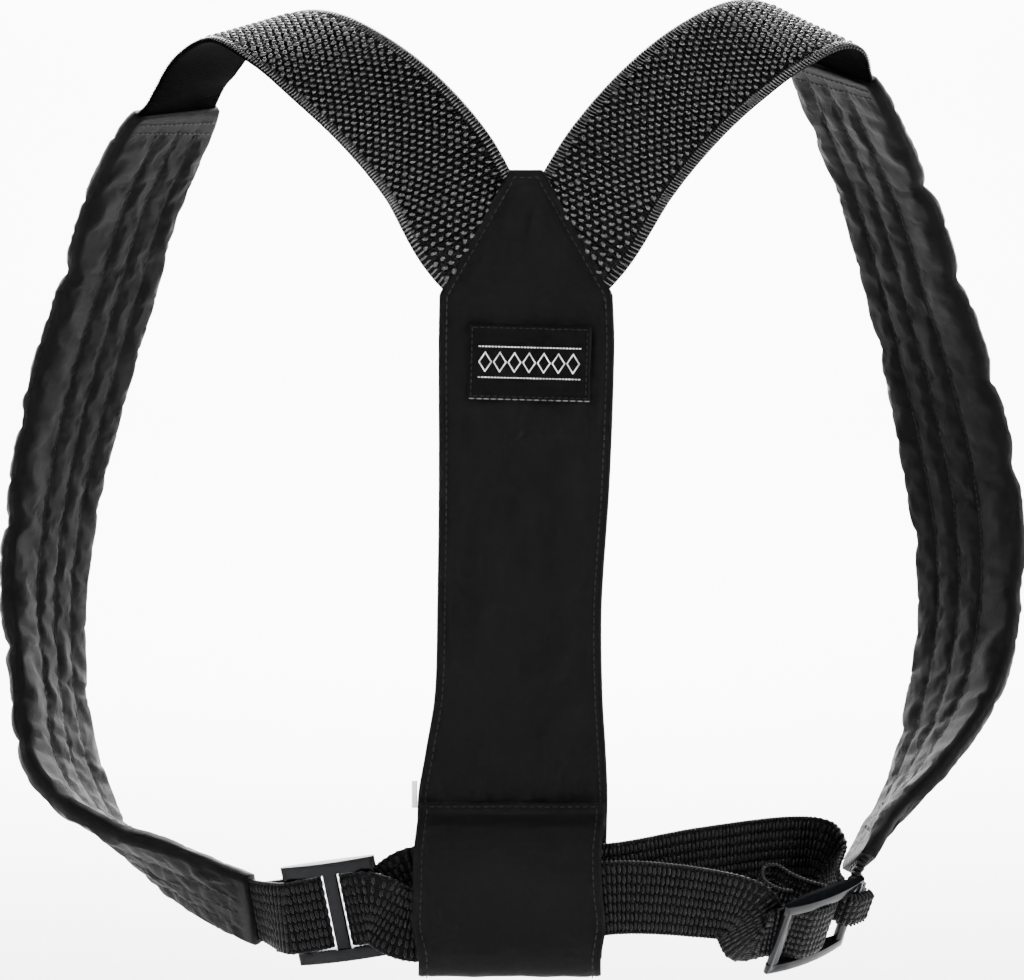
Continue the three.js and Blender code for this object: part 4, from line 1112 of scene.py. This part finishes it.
def buildLabel():
    columns, rows = 40, 26
    front = -(panel["thickness"] + harness["clothGap"] + label["thickness"])
    rings = []
    for r in range(rows + 1):
        b = label["height"] * (0.5 - r / rows)
        outer, inner = [], []
        for c in range(columns + 1):
            a = label["width"] * (c / columns - 0.5)
            x, z = labelPoint(a, b)
            rim = 0.00012 if c in (0, columns) or r in (0, rows) else 0.0
            y = front - abs(labelLift(a, b)) * 0.5 + rim
            outer.append((x, y, z))
            inner.insert(0, (x, front + label["thickness"] - rim, z))
        rings.append(outer + inner)
    a = np.linspace(-label["width"] / 2, label["width"] / 2, columns + 1)
    cover = ringMesh("label_cover", rings, [*a, *a[::-1]], np.linspace(0, label["height"], rows + 1),
                     [labelCover])
    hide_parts("label")

    def onLabel(line, pitch):
        at, way = evenly(line, pitch)
        places = []
        for p in at:
            x, z = labelPoint(*p)
            places.append((x, front - abs(labelLift(*p)) * 0.5 - 0.0001, z))
        ways = [np.subtract(labelPoint(*(p + w * 0.001)), labelPoint(*p)) for p, w in zip(at, way)]
        return places, [(w[0], 0, w[1]) for w in ways], np.tile([0.0, -1.0, 0.0], (len(at), 1))

    w, h = label["width"] / 2 - 0.0016, label["height"] / 2 - 0.0014
    border = Seeds()
    border.add(*onLabel([(-w, h), (w, h), (w, -h), (-w, -h), (-w, h)], 0.0026))
    sewn = grainPiece("label_stitches", border.rows(), grains, (0.0021, 0.0005, 0.0004), threadCover)
    pale = Seeds()
    motifs, step, lineAt = label["motifs"], label["motifStep"], label["lineAt"]
    half = step * motifs / 2
    for level in (lineAt, -lineAt):
        pale.add(*onLabel([(-half, level), (half, level)], 0.0013))
    for k in range(motifs):
        middle = (k - (motifs - 1) / 2) * step
        wide, tall = step * 0.42, lineAt * 0.62
        diamond = [(middle - wide, 0), (middle, tall), (middle + wide, 0), (middle, -tall),
                   (middle - wide, 0)]
        pale.add(*onLabel(diamond, 0.0008))
    hem = Seeds()
    hem.add(*onLabel([(-w - 0.001, -h - 0.0011), (w + 0.001, -h - 0.0011)], 0.0029))
    hemLine = grainPiece("label_hem_thread", hem.rows(), grains, (0.0027, 0.0005, 0.0005), paleThread)
    motif = grainPiece("label_ornament", pale.rows(), grains, (0.0012, 0.0006, 0.0003), ornamentThread, 6)
    return cover, sewn, motif, hemLine


def buildTag():
    edge = -float(panelEdge(1, -tag["drop"]))
    middle = -panel["thickness"] / 2
    rings = []
    for r in range(15):
        z = -tag["drop"] + tag["height"] * (0.5 - r / 14)
        bow = 0.0002 * math.sin(r * 0.7)
        ring = []
        for turn in np.linspace(0, 2 * math.pi, 13)[:-1]:
            reach = tag["reach"] / 2
            x = edge - harness["clothGap"] - reach - math.cos(turn) * reach * (1
                                                                               - 0.1 * math.sin(r * 1.1) ** 2)
            y = middle + math.sin(turn) * tag["thickness"] / 2 + bow
            ring.append((x, y, z))
        rings.append(ring)
    cover = ringMesh("folded_tag", rings, np.linspace(0, 2 * tag["reach"], 12),
                     np.linspace(0, tag["height"], 15), [tagCover])
    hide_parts("care_tag")
    return cover


labelPieces = buildLabel()
tagPiece = buildTag()
print("label and tag built")


# What each piece is

pieces = {
    "cloth": [panelCover, panelThread, tunnelCover, tunnelThread, *padLeft, *padRight],
    "elastic": [*strapLeft[:3], *strapRight[:3]],
    "webbing": [beltCover, beltEdges, beltYarns, *stubLeft[:3], *stubRight[:3]],
    "plastic": [buckleLeft, buckleRight],
    "label_satin": list(labelPieces),
    "tag_satin": [tagPiece],
}
for slotName, members in pieces.items():
    for piece in members:
        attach(piece, "root")


# Camera, light and floor

photo = {"place": (-0.00567, -1.4963, 0.0014), "tilt": 86.0, "lens": 130.2, "sensor": 36.0}
studio = {"floor": -0.5, "world": 0.05, "sides": 64, "colour": (0.93, 0.93, 0.93, 1)}
# radius, height
bowlRows = [(0.01, 0), (1.0, 0), (2.0, 0), (2.8, 0.05), (3.4, 0.25), (3.8, 0.7), (4.0, 1.4), (4.0, 3.0)]
lamps = [
    {"name": "keyLight", "place": (-0.7, -1.0, 1.15), "aim": (0, 0, -0.02), "size": 0.35, "power": 19},
    {"name": "sheenLight", "place": (-0.55, -1.25, 0.62), "aim": (0, 0, -0.02), "size": 0.4, "power": 4.5},
    {"name": "sideLight", "place": (1.5, -0.5, 0.3), "aim": (0, 0, -0.1), "size": 0.5, "power": 17},
    {"name": "rimLeft", "place": (-1.4, 0.9, 0.8), "aim": (0, 0, -0.1), "size": 0.7, "power": 2},
    {"name": "rimRight", "place": (1.4, 0.9, 0.8), "aim": (0, 0, -0.1), "size": 0.7, "power": 12},
    {"name": "backLight", "place": (0, 2.6, 1.9), "aim": (0, 2.6, -0.5), "size": 2.2, "power": 420},
    {"name": "wallLight", "place": (0, 1.9, 1.7), "aim": (0, 4.0, 0.3), "size": 1.6, "power": 260},
]


def buildStage():
    # a pale floor that rises at its rim into a wall
    sides = studio["sides"]
    turns = np.linspace(0, 2 * math.pi, sides + 1)[:-1]
    rings = [[(radius * math.cos(a), radius * math.sin(a), studio["floor"] + z) for a in turns]
             for radius, z in bowlRows]
    mesh = bpy.data.meshes.new("studioFloor")
    faces = [(r * sides + c, r * sides + (c + 1) % sides, (r + 1) * sides + (c + 1) % sides,
              (r + 1) * sides + c)
             for r in range(len(bowlRows) - 1) for c in range(sides)]
    faces.append(tuple(range(sides - 1, -1, -1)))
    mesh.from_pydata([p for ring in rings for p in ring], [], faces)
    mesh.polygons.foreach_set("use_smooth", [True] * len(mesh.polygons))
    floor = newObject("studioFloor", mesh)
    paint = bpy.data.materials.new("paleFloor")
    paint.use_nodes = True
    shader = paint.node_tree.nodes["Principled BSDF"]
    shader.inputs["Base Color"].default_value = studio["colour"]
    shader.inputs["Roughness"].default_value = 0.8
    mesh.materials.append(paint)


def buildLights():
    world = bpy.data.worlds.new("studioWorld")
    world.use_nodes = True
    world.node_tree.nodes["Background"].inputs["Color"].default_value = (1, 1, 1, 1)
    world.node_tree.nodes["Background"].inputs["Strength"].default_value = studio["world"]
    bpy.context.scene.world = world
    for lamp in lamps:
        data = bpy.data.lights.new(lamp["name"], "AREA")
        data.size = lamp["size"]
        data.energy = lamp["power"]
        obj = newObject(lamp["name"], data)
        obj.location = lamp["place"]
        obj.rotation_euler = (Vector(lamp["aim"]) - Vector(lamp["place"])).to_track_quat("-Z", "Y").to_euler()


def buildCamera():
    data = bpy.data.cameras.new("photoCamera")
    data.lens = photo["lens"]
    data.sensor_width = photo["sensor"]
    obj = newObject("photoCamera", data)
    obj.location = photo["place"]
    obj.rotation_euler = (math.radians(photo["tilt"]), 0, 0)
    bpy.context.scene.camera = obj


buildStage()
buildLights()
buildCamera()
print("stage built")

bpy.context.view_layer.update()
